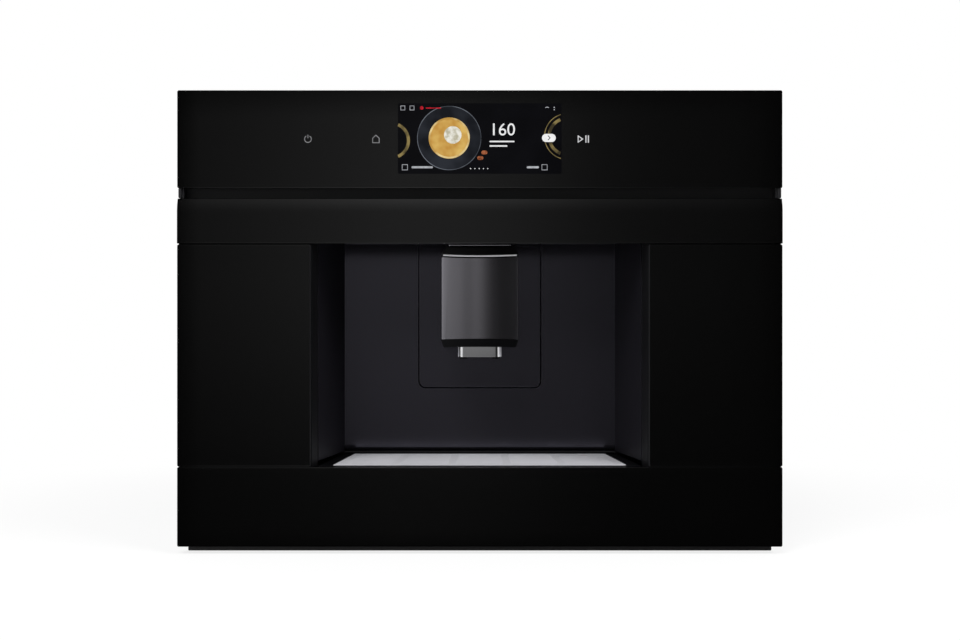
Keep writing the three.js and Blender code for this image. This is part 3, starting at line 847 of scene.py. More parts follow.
class Paint:
    """The machine's finishes, by what they are on.

    A line is the size of a brush line along X, Y and Z, in millimetres.
    """

    # polished and printed behind: near-black with a clear, slightly wavy mirror over it
    GLASS = FloatGlass("black_printed_float_glass", "030303", 0.035)
    # ground with a wheel: a dull edge a little lighter than the face, partly its own grey and
    # partly a painted highlight where it faces the niche
    GLASS_EDGE_HIGHLIGHT = MouldedPlastic("ground_glass_edge_painted_highlight", "0e0e10", 0.5, ior=1.3, grain=0.4)
    # ground, matt black and almost without gloss: partly a dull edge, partly painted shade that
    # keeps the outer rim of the front dark
    SHADED_GLASS_RIM = MouldedPlastic("glass_rim_painted_shade", "020202", 0.7, ior=1.08)
    # stove-lacquered extrusion: as black as the glass, with a broader highlight along its bend;
    # like the glass, its gloss is dimmed toward the ends as painted shade
    LACQUER = FloatGlass("black_lacquered_aluminium", "040404", 0.07)
    # moulded with a fine grain: soft grey-black sheen
    BLACK_ABS = MouldedPlastic("black_moulded_abs", "151517", 0.45)
    # a finer grain and less of the room in it, and a darker black than the carrier: the darker
    # black is painted shade on the door frame and the grip pocket
    SATIN_ABS_SHADE = MouldedPlastic("satin_black_moulded_abs_painted_shade", "0a0a0c", 0.5, ior=1.35)
    # for hollows and edges in shadow: close to no light comes back
    DEEP_ABS = MouldedPlastic("deep_black_moulded_abs", "050506", 0.3, ior=1.25)
    # the niche's smooth skin: dark violet-grey, glossy enough to show the grate's light low down
    NICHE_ABS = MouldedPlastic(
        "anthracite_moulded_abs",
        "19181c",
        0.15,
        ior=1.8,
        height=0.004,
        shade="18171b",
        sheen="eeebff",
        swing=0.02,
    )
    # its side walls, grained and a little darker than the back wall: painted shade on the walls
    # that face across
    NICHE_SIDE_SHADE = MouldedPlastic("anthracite_grained_abs_painted_shade", "161519", 0.45, ior=1.3, sheen="eeebff")
    # coated and brushed upright: a grey face whose highlight spreads from side to side
    DARK_STEEL = BrushedMetal(
        "dark_coated_steel", "aba9b0", 0.22, 1.0, line=(0.5, 120.0, 120.0), height=0.001
    )
    # the same coat on the sheet's folded sides, darker at a slant: painted shade
    SHADED_FOLD = BrushedMetal(
        "dark_coated_steel_fold_painted_shade", "4a494e", 0.3, 1.0, line=(0.5, 120.0, 120.0), height=0.001
    )
    # buffed: hard bright highlights
    POLISHED = BrushedMetal("polished_stainless_steel", "f0f0f2", 0.16, 1.0, height=0.001)
    # satin-brushed front to back, pale and mostly without reflections: partly bright steel, partly
    # a painted highlight that stays even whatever stands before it
    SATIN_STEEL_HIGHLIGHT = BrushedMetal(
        "satin_stainless_steel_painted_highlight", "e4e4e8", 0.5, 0.3, line=(0.8, 90.0, 0.8), height=0.001
    )
    # turned and oiled: dark grey with fine lines
    MOTOR_STEEL = BrushedMetal("dark_turned_steel", "57565b", 0.35, 1.0, shade="4a494d")
    # brushed: light grey with highlights drawn out across the lines
    STEEL = BrushedMetal("brushed_stainless_steel", "c4c4c8", 0.28, 1.0)
    # blasted with glass beads: pale and nearly without reflections
    BLASTED = BrushedMetal(
        "bead_blasted_stainless_steel", "d2d2d7", 0.55, 0.3, line=(90.0, 0.8, 0.8), shade="cdcdd2"
    )
    # hot-dipped: grey with patches of crystal that each take the light their own way
    ZINC = GalvanisedSheet("galvanised_steel_sheet", "adb0b2", 0.45, 0.8)
    # moulded acetal: mid grey, waxy
    GREY_ABS = MouldedPlastic("grey_moulded_pom", "6e7073", 0.5, shade="66686b")
    # clear styrene moulding: what is behind shows through with a cool tint
    CLEAR = ClearPlastic("smoke_clear_san", "c9d3d8", 0.08)
    # lacquer over copper: green with lighter tracks
    BOARD = SolderMask("green_solder_mask", "14492b", 0.4)
    # pressure-cast and left raw: dull grey with a mottled skin
    CAST = BrushedMetal(
        "die_cast_aluminium", "b9bbbd", 0.5, 0.9, line=(3.0, 3.0, 3.0), height=0.03, shade="a9abad"
    )
    # turned: warm yellow with rings along Z
    BRASS = BrushedMetal(
        "turned_brass", "b08d4a", 0.3, 1.0, line=(8.0, 8.0, 0.4), shade="9c7a3c"
    )
    # moulded in a signal colour, so that a hand finds it
    RED_ABS = MouldedPlastic("red_moulded_abs", "b3261e", 0.4, shade="a5221b")
    # milky sheet lit from behind: an even glow with soft spots
    OPAL = OpalLamp("opal_lamp_diffuser", "d8d8d4", 0.5)
    # extruded hose: off-white, soft and slightly dusty
    SILICONE = MouldedPlastic("white_silicone_hose", "d9d9d4", 0.45, shade="cfcfc9")


SLOT_PAINT: dict[Slot, Finish] = {
    Slot.BLACK_GLASS: Paint.GLASS,
    Slot.DISPLAY: Paint.GLASS,
    Slot.BLACK_METAL: Paint.LACQUER,
    Slot.BLACK_PLASTIC: Paint.BLACK_ABS,
    Slot.NICHE_PLASTIC: Paint.NICHE_ABS,
    Slot.DARK_STEEL: Paint.MOTOR_STEEL,
    Slot.STEEL: Paint.STEEL,
    Slot.ZINC_SHEET: Paint.ZINC,
    Slot.GREY_PLASTIC: Paint.GREY_ABS,
    Slot.CLEAR_PLASTIC: Paint.CLEAR,
    Slot.CIRCUIT_BOARD: Paint.BOARD,
    Slot.ALUMINIUM: Paint.CAST,
    Slot.BRASS: Paint.BRASS,
    Slot.RED_PLASTIC: Paint.RED_ABS,
    Slot.DIFFUSER: Paint.OPAL,
    Slot.SILICONE: Paint.SILICONE,
}


def paint(piece: Piece, finish: Finish) -> None:
    """Gives a whole piece one finish."""
    piece.data.materials.clear()
    piece.data.materials.append(finish.material())


def paint_faces(piece: Piece, finish: Finish, test: Test) -> None:
    """Gives some faces of a piece another finish.

    Args:
        piece: the object.
        finish: the other finish.
        test: which faces, by centre in millimetres and normal.
    """
    piece.data.materials.append(finish.material())
    last = len(piece.data.materials) - 1
    for face in piece.data.polygons:
        if test(gauge(face.center), face.normal):
            face.material_index = last


@dataclass
class Assembly:
    """A sub-assembly: its pieces, and the body that carries them."""

    body: Body = Body.CHASSIS
    pieces: list[Piece] = field(default_factory=list)

    def fit(self, piece: Piece, slot: Slot, *nodes: str, finish: Finish | None = None) -> None:
        """Finishes a new piece and fixes it to the frame.

        Args:
            piece: the object.
            slot: the record's material slot.
            nodes: the frame nodes that it stands for.
            finish: its finish, where it isn't the slot's own or isn't on it yet.
        """
        if finish or not piece.data.materials:
            paint(piece, finish or SLOT_PAINT[slot])
        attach(piece, self.body.value)
        if nodes:
            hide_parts(*nodes)
        self.pieces.append(piece)

    def ease(self, node: str, slot: Slot, width: float, finish: Finish | None = None) -> None:
        """Replaces a frame node by a copy with eased edges.

        Args:
            node: the node's name.
            slot: its material slot.
            width: the width of its eased edges in millimetres.
            finish: its finish, where it isn't the slot's own.
        """
        self.fit(eased(node, width), slot, node, finish=finish)

    def build(self) -> None:
        """Makes every piece of the sub-assembly."""
        raise NotImplementedError


# ---- Glass panes -----------------------------------------------------------------------------
@dataclass
class GlassPane:
    """One pane of the front: a plate with round corners and a ground edge."""

    node: str
    name: str
    shaded_sides: tuple[Side, ...]
    bright_sides: tuple[Side, ...] = ()
    corner: float = 1.5
    edge: float = 1.0
    turned: float = 0.1  # how far a face of the edge looks out at a side to take that side's finish

    def make(self) -> Piece:
        """Builds and paints the pane.

        Returns:
            The new object.
        """
        x, depth, z = node_spans(self.node)
        pane = block(self.name, x, depth, z)
        bevel_edges(pane, along(Side.BACK), self.corner, 4)
        bevel_edges(pane, lambda middle, way: abs(middle.y - depth[0]) < TOUCH, self.edge)
        smooth(pane, 50)
        paint(pane, Paint.GLASS)
        # the outer edges take a gloss-free black as painted shade, the edges at the niche a lighter
        # grey as a painted highlight
        rims = ((Paint.SHADED_GLASS_RIM, self.shaded_sides), (Paint.GLASS_EDGE_HIGHLIGHT, self.bright_sides))
        for finish, sides in rims:
            if sides:
                paint_faces(pane, finish, facing(*sides, least=self.turned))
        return pane


# ---- Printed layers and the screen's picture -------------------------------------------------
@dataclass
class PrintedLayer:
    """Flat marks on the front of the control glass, one thin layer above another."""

    name: str
    level: int
    centre: Spot
    marks: list[Piece] = field(default_factory=list)
    surface: float = 0.5
    film: float = 0.04
    chip: float = 0.01  # half the thickness of the slice that an arc is spun from
    step: float = 7.0  # degrees between the facets of an arc

    @property
    def depth(self) -> Span:
        """The layer's range in depth."""
        top = self.surface - (self.level + 1) * self.film
        return (top, top + self.film)

    def spot(self, x: float, z: float) -> Spot:
        """A place on the layer, from its own centre to the machine's X and Z."""
        return self.centre[0] + x, self.centre[1] + z

    def disc(self, x: float, z: float, radius: float, sides: int = 12) -> None:
        """Adds a filled disc.

        Args:
            x: its centre across.
            z: its centre upwards.
            radius: its radius.
            sides: the corners of its edge.
        """
        px, pz = self.spot(x, z)
        middle = point(px, sum(self.depth) / 2, pz)
        self.marks.append(bar("disc", middle, radius, self.film, Lie.BACK, sides))

    def arc(
        self, x: float, z: float, radius: float, width: float, start: float, end: float
    ) -> None:
        """Adds a band along a circle, spun about its centre.

        Args:
            x: the centre across.
            z: the centre upwards.
            radius: the radius of the band's middle.
            width: the band's width.
            start: the angle where it starts, in degrees from +X towards +Z.
            end: the angle where it ends.
        """
        px, pz = self.spot(x, z)
        chip = block("arc", around(px + radius, width / 2), self.depth, around(pz, self.chip))
        first, turn = math.radians(start), math.radians(end - start)
        steps = max(3, round(abs(end - start) / self.step))
        centre = point(px, 0, pz)
        with editing(chip, everything=True):
            bpy.ops.transform.rotate(value=first, orient_axis="Y", center_override=centre)
        with editing(chip):
            ahead = Vector((-math.sin(first), 0, math.cos(first)))
            pick_faces(chip, lambda place, normal: normal.dot(ahead) > AHEAD)
            bpy.ops.mesh.spin(steps=steps, angle=turn, center=centre, axis=(0, 1, 0))
        self.marks.append(chip)

    def stroke(self, first: Spot, last: Spot, width: float) -> None:
        """Adds a straight line with square ends.

        Args:
            first: where it starts.
            last: where it ends.
            width: its width.
        """
        (ax, az), (bx, bz) = self.spot(*first), self.spot(*last)
        length = math.hypot(bx - ax, bz - az)
        line = block("line", both((length + width) / 2), self.depth, both(width / 2))
        line.rotation_euler.y = -math.atan2(bz - az, bx - ax)
        line.location = Vector(((ax + bx) / 2, 0, (az + bz) / 2)) * MM
        bpy.ops.object.transform_apply(location=True, rotation=True, scale=True)
        self.marks.append(line)

    def outline(self, corners: Sequence[Spot], width: float) -> None:
        """Adds the closed outline of a shape.

        Args:
            corners: its corners in order.
            width: the line's width.
        """
        for first, last in zip(corners, [*corners[1:], corners[0]]):
            self.stroke(first, last, width)

    def tile(self, x: float, z: float, half: float) -> None:
        """Adds a small square outline of a given half side."""
        (left, right), (low, high) = around(x, half), around(z, half)
        self.outline([(left, low), (right, low), (right, high), (left, high)], 0.5)

    def pill(self, x: Span, z: Span) -> None:
        """Adds a bar with round ends.

        Args:
            x: its range across.
            z: its range upwards.
        """
        (left, low), (right, high) = self.spot(x[0], z[0]), self.spot(x[1], z[1])
        shape = block("pill", (left, right), self.depth, (low, high))
        radius = min(right - left, high - low) / 2 * 0.98
        bevel_edges(shape, along(Side.BACK), radius, 6)
        self.marks.append(shape)

    def figures(self, text: str, x: float, z: float, size: float) -> None:
        """Adds plain numbers.

        Args:
            text: the digits.
            x: the left end.
            z: the base line.
            size: the type size.
        """
        px, pz = self.spot(x, z)
        deselect()
        bpy.ops.object.text_add()
        words = bpy.context.active_object
        words.data.body = text
        words.data.size = size * MM
        words.data.extrude = self.film / 2 * MM
        bpy.ops.object.convert(target="MESH")
        words.rotation_euler.x = QUARTER
        words.location = point(px, sum(self.depth) / 2, pz)
        self.marks.append(new_piece("figures"))


@dataclass
class ControlPanel(Assembly):
    """The glass control panel with its screen, touch keys and the carrier behind them."""

    screen_centre: Spot = (0.0, 407.5)
    screen_half: Spot = (80.3, 34.6)
    screen_corner: float = 1.2
    cup_centre: Spot = (-30.0, 0.5)
    bar_rows: Span = (-29.2, -27.2)
    key_height: float = 407.0
    power_key: float = -168.6
    home_key: float = -101.9
    start_key: float = 101.1
    line: float = 0.75
    cheek: Span = (291.0, 296.2)  # closes the ends behind the glass
    cheek_depth: Span = (4.6, 20.0)
    cheek_rise: Span = (349.4, 363.0)

    def build(self) -> None:
        """Makes the glass, the picture, the keys and the carrier."""
        sides = (Side.LEFT, Side.RIGHT, Side.UP)
        glass = GlassPane("control_panel_glass", "control_glass", sides).make()
        self.fit(glass, Slot.BLACK_GLASS, "control_panel_glass")
        carrier = [eased("control_panel_carrier", 0.4)]
        for side in (-1, 1):
            cheek = block("cheek", toward(side, *self.cheek), self.cheek_depth, self.cheek_rise)
            round_edges(cheek, 0.3)
            carrier.append(smooth(cheek))
        whole = weld("control_panel_carrier_eased", carrier)
        self.fit(whole, Slot.BLACK_PLASTIC, "control_panel_carrier")
        self.ease("display_module", Slot.DISPLAY, 0.5)
        self.draw_screen()
        self.draw_drink()
        self.draw_values()
        self.draw_keys()

    def layer(self, name: str, level: int) -> PrintedLayer:
        """A new layer of the picture, centred on the screen."""
        return PrintedLayer(name, level, self.screen_centre)

    def show(self, layer: PrintedLayer, ink: Finish) -> None:
        """Welds a layer's marks and fits them to the panel."""
        self.fit(weld(layer.name, layer.marks), Slot.DISPLAY, finish=ink)

    def draw_screen(self) -> None:
        """The dark ground of the screen."""
        depth = self.layer("screen_ground", 0).depth
        x, z = (around(*pair) for pair in zip(self.screen_centre, self.screen_half))
        plate = block("screen_ground", x, depth, z)
        bevel_edges(plate, along(Side.BACK), self.screen_corner, 4)
        ink = ScreenInk("screen_black", "08080a", shade="050506", cloud=30)
        self.fit(plate, Slot.DISPLAY, finish=ink)

    def draw_disc(self, name: str, level: int, radius: float, sides: int, ink: Finish) -> None:
        """One round layer of the cup, about the cup's centre.

        Args:
            name: the layer's name.
            level: its level above the screen's ground.
            radius: its radius.
            sides: the corners of its edge.
            ink: its finish.
        """
        layer = self.layer(name, level)
        layer.disc(*self.cup_centre, radius, sides)
        self.show(layer, ink)

    def draw_drink(self) -> None:
        """A cup from above on its saucer, and the edges of its neighbours."""
        x, z = self.cup_centre
        saucer = ScreenInk("saucer_glow", "2a2d33", shade="15171b", cloud=28)
        self.draw_disc("screen_saucer", 1, 31, 72, saucer)
        rim = self.layer("screen_saucer_rim", 2)
        rim.arc(x, z, 31.2, 0.7, 0, 359)
        self.show(rim, ScreenInk("saucer_rim", "6b7078", shade="3c4046", cloud=18))
        cup = ScreenInk("cup_rim", "e6cf94", shade="b98f45", cloud=12)
        self.draw_disc("screen_cup", 3, 20.2, 64, cup)
        crema = ScreenInk("crema", "d9b463", shade="c08f42", cloud=14)
        self.draw_disc("screen_crema", 4, 18.4, 64, crema)
        milk = self.layer("screen_milk", 5)
        milk.disc(x + 3.5, z + 3, 8.6, 40)
        self.show(milk, ScreenInk("milk", "eceae0", shade="b9b49d", cloud=5))
        beans = self.layer("screen_beans", 6)
        beans.pill((-2.5, 3.5), (-21, -17.2))
        beans.pill((1.5, 7.5), (-15.6, -11.8))
        self.show(beans, ScreenInk("bean_brown", "a8623f", shade="6e3b25", cloud=3))
        neighbours = self.layer("screen_neighbours", 1)
        neighbours.arc(86, 2, 18, 3.0, 113, 247)
        neighbours.arc(86, 2, 22.5, 0.8, 107, 253)
        neighbours.arc(-87, -2, 17, 3.0, -66, 66)
        self.show(neighbours, ScreenInk("gilt_rim", "8d7c4d", shade="3a3423", cloud=11))

    def draw_values(self) -> None:
        """Plain figures, bars and dots in place of words."""
        figures = self.layer("screen_figures", 2)
        figures.figures("160", 9.5, 3.2, 17)
        figures.pill((9.5, 34), (-3.6, -2.2))
        figures.pill((9.5, 27), (-8.0, -6.6))
        for i in range(5):
            figures.disc(-9 + i * 4.2, -29.5, 0.55)
        self.show(figures, ScreenInk("screen_white", "f2f2f2", shade="e4e4e6"))
        marks = self.layer("screen_marks", 3)
        tiles = ((-75.5, 30, 2.0), (-66.5, 30, 2.0), (-73.5, -28.2, 2.6), (63.5, -28.2, 2.6))
        for tile in tiles:
            marks.tile(*tile)
        marks.pill((-67, -46), self.bar_rows)
        marks.pill((46, 58), self.bar_rows)
        marks.disc(73, 30.5, 0.6)
        marks.disc(73, 28.3, 0.6)
        marks.arc(66, 28.6, 2.2, 0.6, 40, 140)
        self.show(marks, ScreenInk("screen_grey", "b9bbc0", shade="9d9fa4"))
        alert = self.layer("screen_alert", 3)
        alert.disc(-57, 30, 1.8, 24)
        alert.pill((-53, -38), (29.4, 30.4))
        self.show(alert, ScreenInk("screen_red", "c8202f", shade="8d1721"))
        pill = self.layer("screen_button", 4)
        pill.pill((61, 74.5), (-3.4, 4.6))
        self.show(pill, ScreenInk("button_white", "f4f4f4", shade="ebebeb"))
        arrow = self.layer("screen_arrow", 5)
        for z in (2.6, -1.4):
            arrow.stroke((67, z), (69, 0.6), 0.7)
        self.show(arrow, ScreenInk("arrow_black", "101012", shade="060607"))

    def draw_keys(self) -> None:
        """The touch keys: on and off, home, start and stop."""
        ink = ScreenInk("key_print", "8e8e90", 0.3, shade="7c7c7e")
        power = PrintedLayer("key_power", 0, (self.power_key, self.key_height))
        power.arc(0, 0, 3.3, self.line, 118, 422)
        power.stroke((0, 1.2), (0, 3.9), self.line)
        self.show(power, ink)
        home = PrintedLayer("key_home", 0, (self.home_key, self.key_height))
        home.outline([(-3.2, -3.6), (3.2, -3.6), (3.2, 0.8), (0, 3.8), (-3.2, 0.8)], self.line)
        self.show(home, ink)
        start = PrintedLayer("key_start", 0, (self.start_key, self.key_height))
        start.outline([(-4.6, 3.0), (-4.6, -3.0), (-0.2, 0)], self.line * 1.2)
        for x in (3.0, 5.4):
            start.stroke((x, -3.0), (x, 3.0), self.line * 1.5)
        self.show(start, ScreenInk("key_light", "d8d8da", 0.3, shade="c4c4c6"))


# ---- Door ------------------------------------------------------------------------------------
@dataclass
class Door(Assembly):
    """The door: handle bar, glass, frame and liners."""

    body: Body = Body.DOOR
    bevel_start: float = 340.0
    bevel_lean: float = 3.6
    bevel_blend: float = 4.5
    bar_wall: float = 6.5
    bar_edge: float = 0.9
    shelf_top: float = 313.0
    cheek: float = 296.3  # how far the seal and the pocket reach to each side
    seal_inner: float = 290.0
    seal_depth: Span = (4.6, 9.0)
    seams: tuple[Span, ...] = ((302.6, 305.4), (84.2, 86.6))
    pocket_depth: Span = (6.45, 20.2)
    pocket_rise: Span = (313.05, 348.7)
    pocket_chamfer: float = 3.0
    hollow_half: float = 293.5
    hollow_depth: Span = (5.0, 18.2)
    hollow_rise: Span = (312.0, 350.0)  # open above and below
    hollow_end: float = 291.0  # from here outwards the pocket is in shadow

    def build(self) -> None:
        """Makes the bar, the three panes and what carries them."""
        self.make_bar()
        self.make_pocket()
        panes = (
            GlassPane("left_glass", "left_side_glass", (Side.LEFT,), (Side.RIGHT,)),
            GlassPane("right_glass", "right_side_glass", (Side.RIGHT,), (Side.LEFT,)),
            GlassPane("lower_glass", "lower_door_glass", (Side.LEFT, Side.RIGHT, Side.DOWN)),
        )
        for pane in panes:
            self.fit(pane.make(), Slot.BLACK_GLASS, pane.node)
        # the door frame takes the darker satin black: painted shade along the niche's edges
        self.ease("door_frame", Slot.BLACK_PLASTIC, 0.5, Paint.SATIN_ABS_SHADE)
        self.make_seam_seal()
        for side in ("left", "right"):
            self.ease(f"{side}_door_liner", Slot.NICHE_PLASTIC, 0.6)

    def make_seam_seal(self) -> None:
        """The black seal that closes the ends of the seams above and below the side panes."""
        ends = [
            block("seal_end", toward(side, self.seal_inner, self.cheek), self.seal_depth, z)
            for z in self.seams
            for side in (-1, 1)
        ]
        seal = weld("seam_seal", ends)
        round_edges(seal, 0.3)
        self.fit(smooth(seal), Slot.BLACK_PLASTIC, finish=Paint.DEEP_ABS)

    def make_pocket(self) -> None:
        """The moulded pocket behind the bar, which closes the grip at the back and at both ends;
        partly a moulding, partly a dark sheet that stands in for the shade in the grip.
        """
        pocket = block("grip_pocket", both(self.cheek), self.pocket_depth, self.pocket_rise)
        behind = self.bar_wall * 2
        bevel_edges(
            pocket, lambda mid, way: way.z > AHEAD and mid.y > behind, self.pocket_chamfer, 1
        )
        hollow = block("hollow", both(self.hollow_half), self.hollow_depth, self.hollow_rise)
        carve(pocket, hollow)
        round_edges(pocket, 0.3)
        # the pocket takes the darker satin black as painted shade, and its ends the deep black
        paint(pocket, Paint.SATIN_ABS_SHADE)
        paint_faces(pocket, Paint.DEEP_ABS, lambda centre, normal: abs(centre.x) > self.hollow_end)
        self.fit(smooth(pocket), Slot.BLACK_PLASTIC)

    def make_bar(self) -> None:
        """The handle bar: a flat face that leans back at the top, with a shelf behind it."""
        x, depth, z = node_spans("handle_bar")
        front = depth[0] + NEAR
        lip = block("handle_bar_profile", x, (depth[0], self.bar_wall), z)
        for level in (self.bevel_start, self.shelf_top):
            with editing(lip, everything=True):
                bpy.ops.mesh.bisect(plane_co=point(0, 0, level), plane_no=(0, 0, 1))
        with editing(lip):
            pick_faces(lip, lambda mid, normal: normal.y > AHEAD and mid.z < self.shelf_top)
            extrude(y=depth[1] - self.bar_wall)
        with editing(lip, "EDGE"):
            pick_edges(
                lip, lambda mid, way: way.x > AHEAD and mid.z > z[1] - NEAR and mid.y < front
            )
            bpy.ops.transform.translate(value=(0, self.bevel_lean * MM, 0))

        def bends(mid: Vector, way: Vector) -> bool:
            """Whether an edge is the one where the face starts to lean."""
            return way.x > AHEAD and abs(mid.z - self.bevel_start) < NEAR and mid.y < front

        bevel_edges(lip, bends, self.bevel_blend, 8)
        for test in (
            lambda mid, way: way.x > AHEAD and mid.z > z[1] - NEAR and mid.y < 5,
            lambda mid, way: way.x > AHEAD and mid.z < z[0] + NEAR and mid.y < 1,
        ):
            bevel_edges(lip, test, self.bar_edge)
        self.fit(smooth(lip, 40), Slot.BLACK_METAL, "handle_bar")


# ---- Cup niche -------------------------------------------------------------------------------
@dataclass
class CupNiche(Assembly):
    """The moulded niche that the cup stands in, with its guide panel, lamp and tray bay."""

    half_front: float = 161.2
    half_back: float = 145.0
    front: float = 25.5
    back: float = 128.0
    bottom: float = 96.0
    top: float = 352.5
    wall: float = 2.4
    roll: float = 7.0
    corner: float = 8.0
    window_half: float = 66.1
    window_bottom: float = 156.2
    plate_half: float = 65.0
    plate_bottom: float = 157.4
    plate_depth: Span = (127.2, 130.0)
    plate_edge: float = 0.7
    slot_half: float = 14.0
    slot_rise: Span = (225.0, 335.0)
    slot_corner: float = 6.0
    bracket_half: float = 44.0
    bracket_back: float = 153.0
    bracket_rises: tuple[Span, ...] = ((188.0, 195.7), (346.3, 352.1))
    bay_half: float = 166.0
    bay_depth: Span = (27.0, 142.0)
    bay_rise: Span = (38.0, 88.7)
    bay_wall: float = 3.0
    bay_base: float = 2.5
    mouth_depth: Span = (20.0, 31.0)  # the front wall and what stands before it
    ledge: float = 1.6
    ledge_inset: float = 2.0

    def build(self) -> None:
        """Makes the liner, the bay under it, the guide panel and the lamp."""
        self.make_liner()
        self.make_bay()
        self.make_guide()
        self.ease("niche_lamp", Slot.DIFFUSER, 0.3)
        for side in ("left", "right"):
            self.ease(f"{side}_guide_rod", Slot.STEEL, 0.4)

    def make_liner(self) -> None:
        """Side walls, back wall and ceiling in one skin whose lower edge rolls back."""
        depth, rise = (self.front, self.back), (self.bottom, self.top)
        low = self.bottom + 1
        skin = block("niche_liner", both(self.half_front), depth, rise)
        with editing(skin):
            pick_faces(skin, facing(Side.BACK))
            squeeze(self.half_back / self.half_front)
        with editing(skin):
            pick_faces(skin, facing(Side.FRONT, Side.DOWN))
            bpy.ops.mesh.delete(type="FACE")
        with editing(skin, "EDGE"):
            pick_edges(
                skin, lambda mid, way: way.x > AHEAD and mid.z < low and mid.y > self.back - 1
            )
            hub = point(0, self.back + self.roll, self.bottom)
            bpy.ops.mesh.spin(steps=10, angle=-QUARTER, center=hub, axis=(1, 0, 0))
        with editing(skin, "EDGE"):
            pick_edges(skin, lambda mid, way: way.x < AHEAD and way.y > 0.5 and mid.z < low)
            extrude(z=-self.roll)
        with editing(skin, everything=True):
            bpy.ops.mesh.remove_doubles(threshold=TOUCH * MM)
            bpy.ops.mesh.normals_make_consistent(inside=True)
        apply_modifier(skin, "SOLIDIFY", thickness=self.wall * MM, offset=-1.0)
        through = (self.back - 4, self.back + 6)
        rise = (self.window_bottom, self.top - 0.1)
        window = block("window", both(self.window_half), through, rise)
        self.round_foot(window, self.window_bottom, self.corner)
        carve(skin, window)
        smooth(skin, 30)
        paint(skin, Paint.NICHE_ABS)
        # the side walls take a darker copy of the skin's finish as painted shade
        paint_faces(skin, Paint.NICHE_SIDE_SHADE, facing(Side.LEFT, Side.RIGHT))
        self.fit(skin, Slot.NICHE_PLASTIC, "niche_housing")

    def round_foot(self, piece: Piece, foot: float, radius: float) -> None:
        """Rounds the two lower corners of a plate that stands upright.

        Args:
            piece: the plate.
            foot: the height of its lower edge.
            radius: the corners' radius.
        """
        bevel_edges(piece, lambda mid, way: way.y > AHEAD and mid.z < foot + 1, radius, 8)

    def make_bay(self) -> None:
        """The open box under the niche that the drip tray slides into, with a ledge at its back."""
        floor, rim = self.bay_rise
        inside = self.bay_half - self.bay_wall
        bay = block("tray_bay", both(self.bay_half), self.bay_depth, self.bay_rise)
        with editing(bay):
            pick_faces(bay, facing(Side.UP))
            bpy.ops.mesh.inset(thickness=self.bay_wall * MM, depth=0)
            extrude(z=floor + self.bay_base - rim)
        rise = (floor + self.bay_base, rim + 1)
        carve(bay, block("mouth", both(inside), self.mouth_depth, rise))
        round_edges(bay, 0.6, 3)
        paint(bay, Paint.DEEP_ABS)
        half = self.bay_half - self.ledge_inset
        depth = (self.back + 0.3, self.bay_depth[1] - self.ledge_inset)
        ledge = block("ledge", both(half), depth, (rim - self.ledge, rim))
        round_edges(ledge, 0.4)
        paint(ledge, Paint.BLACK_ABS)
        self.fit(smooth(weld("tray_bay", [bay, ledge])), Slot.NICHE_PLASTIC)

    def make_guide(self) -> None:
        """The plate in the back wall that the outlet slides on, and the rod brackets behind it."""
        front, back = self.plate_depth
        rise = (self.plate_bottom, self.bracket_rises[1][1])
        plate = block("guide_plate", both(self.plate_half), self.plate_depth, rise)
        self.round_foot(plate, self.plate_bottom, self.corner - 0.8)
        slot = block("slot", both(self.slot_half), grown(self.plate_depth), self.slot_rise)
        bevel_edges(slot, along(Side.BACK), self.slot_corner, 6)
        carve(plate, slot)
        bevel_edges(plate, lambda mid, way: abs(mid.y - front) < TOUCH, self.plate_edge)
        parts = [plate]
        for rise in self.bracket_rises:
            depth = (back - 0.2, self.bracket_back)
            parts.append(block("bracket", both(self.bracket_half), depth, rise))
            round_edges(parts[-1], 0.8, 3)
        whole = smooth(weld("guide_plate", parts))
        self.fit(whole, Slot.NICHE_PLASTIC, "outlet_guide_panel")


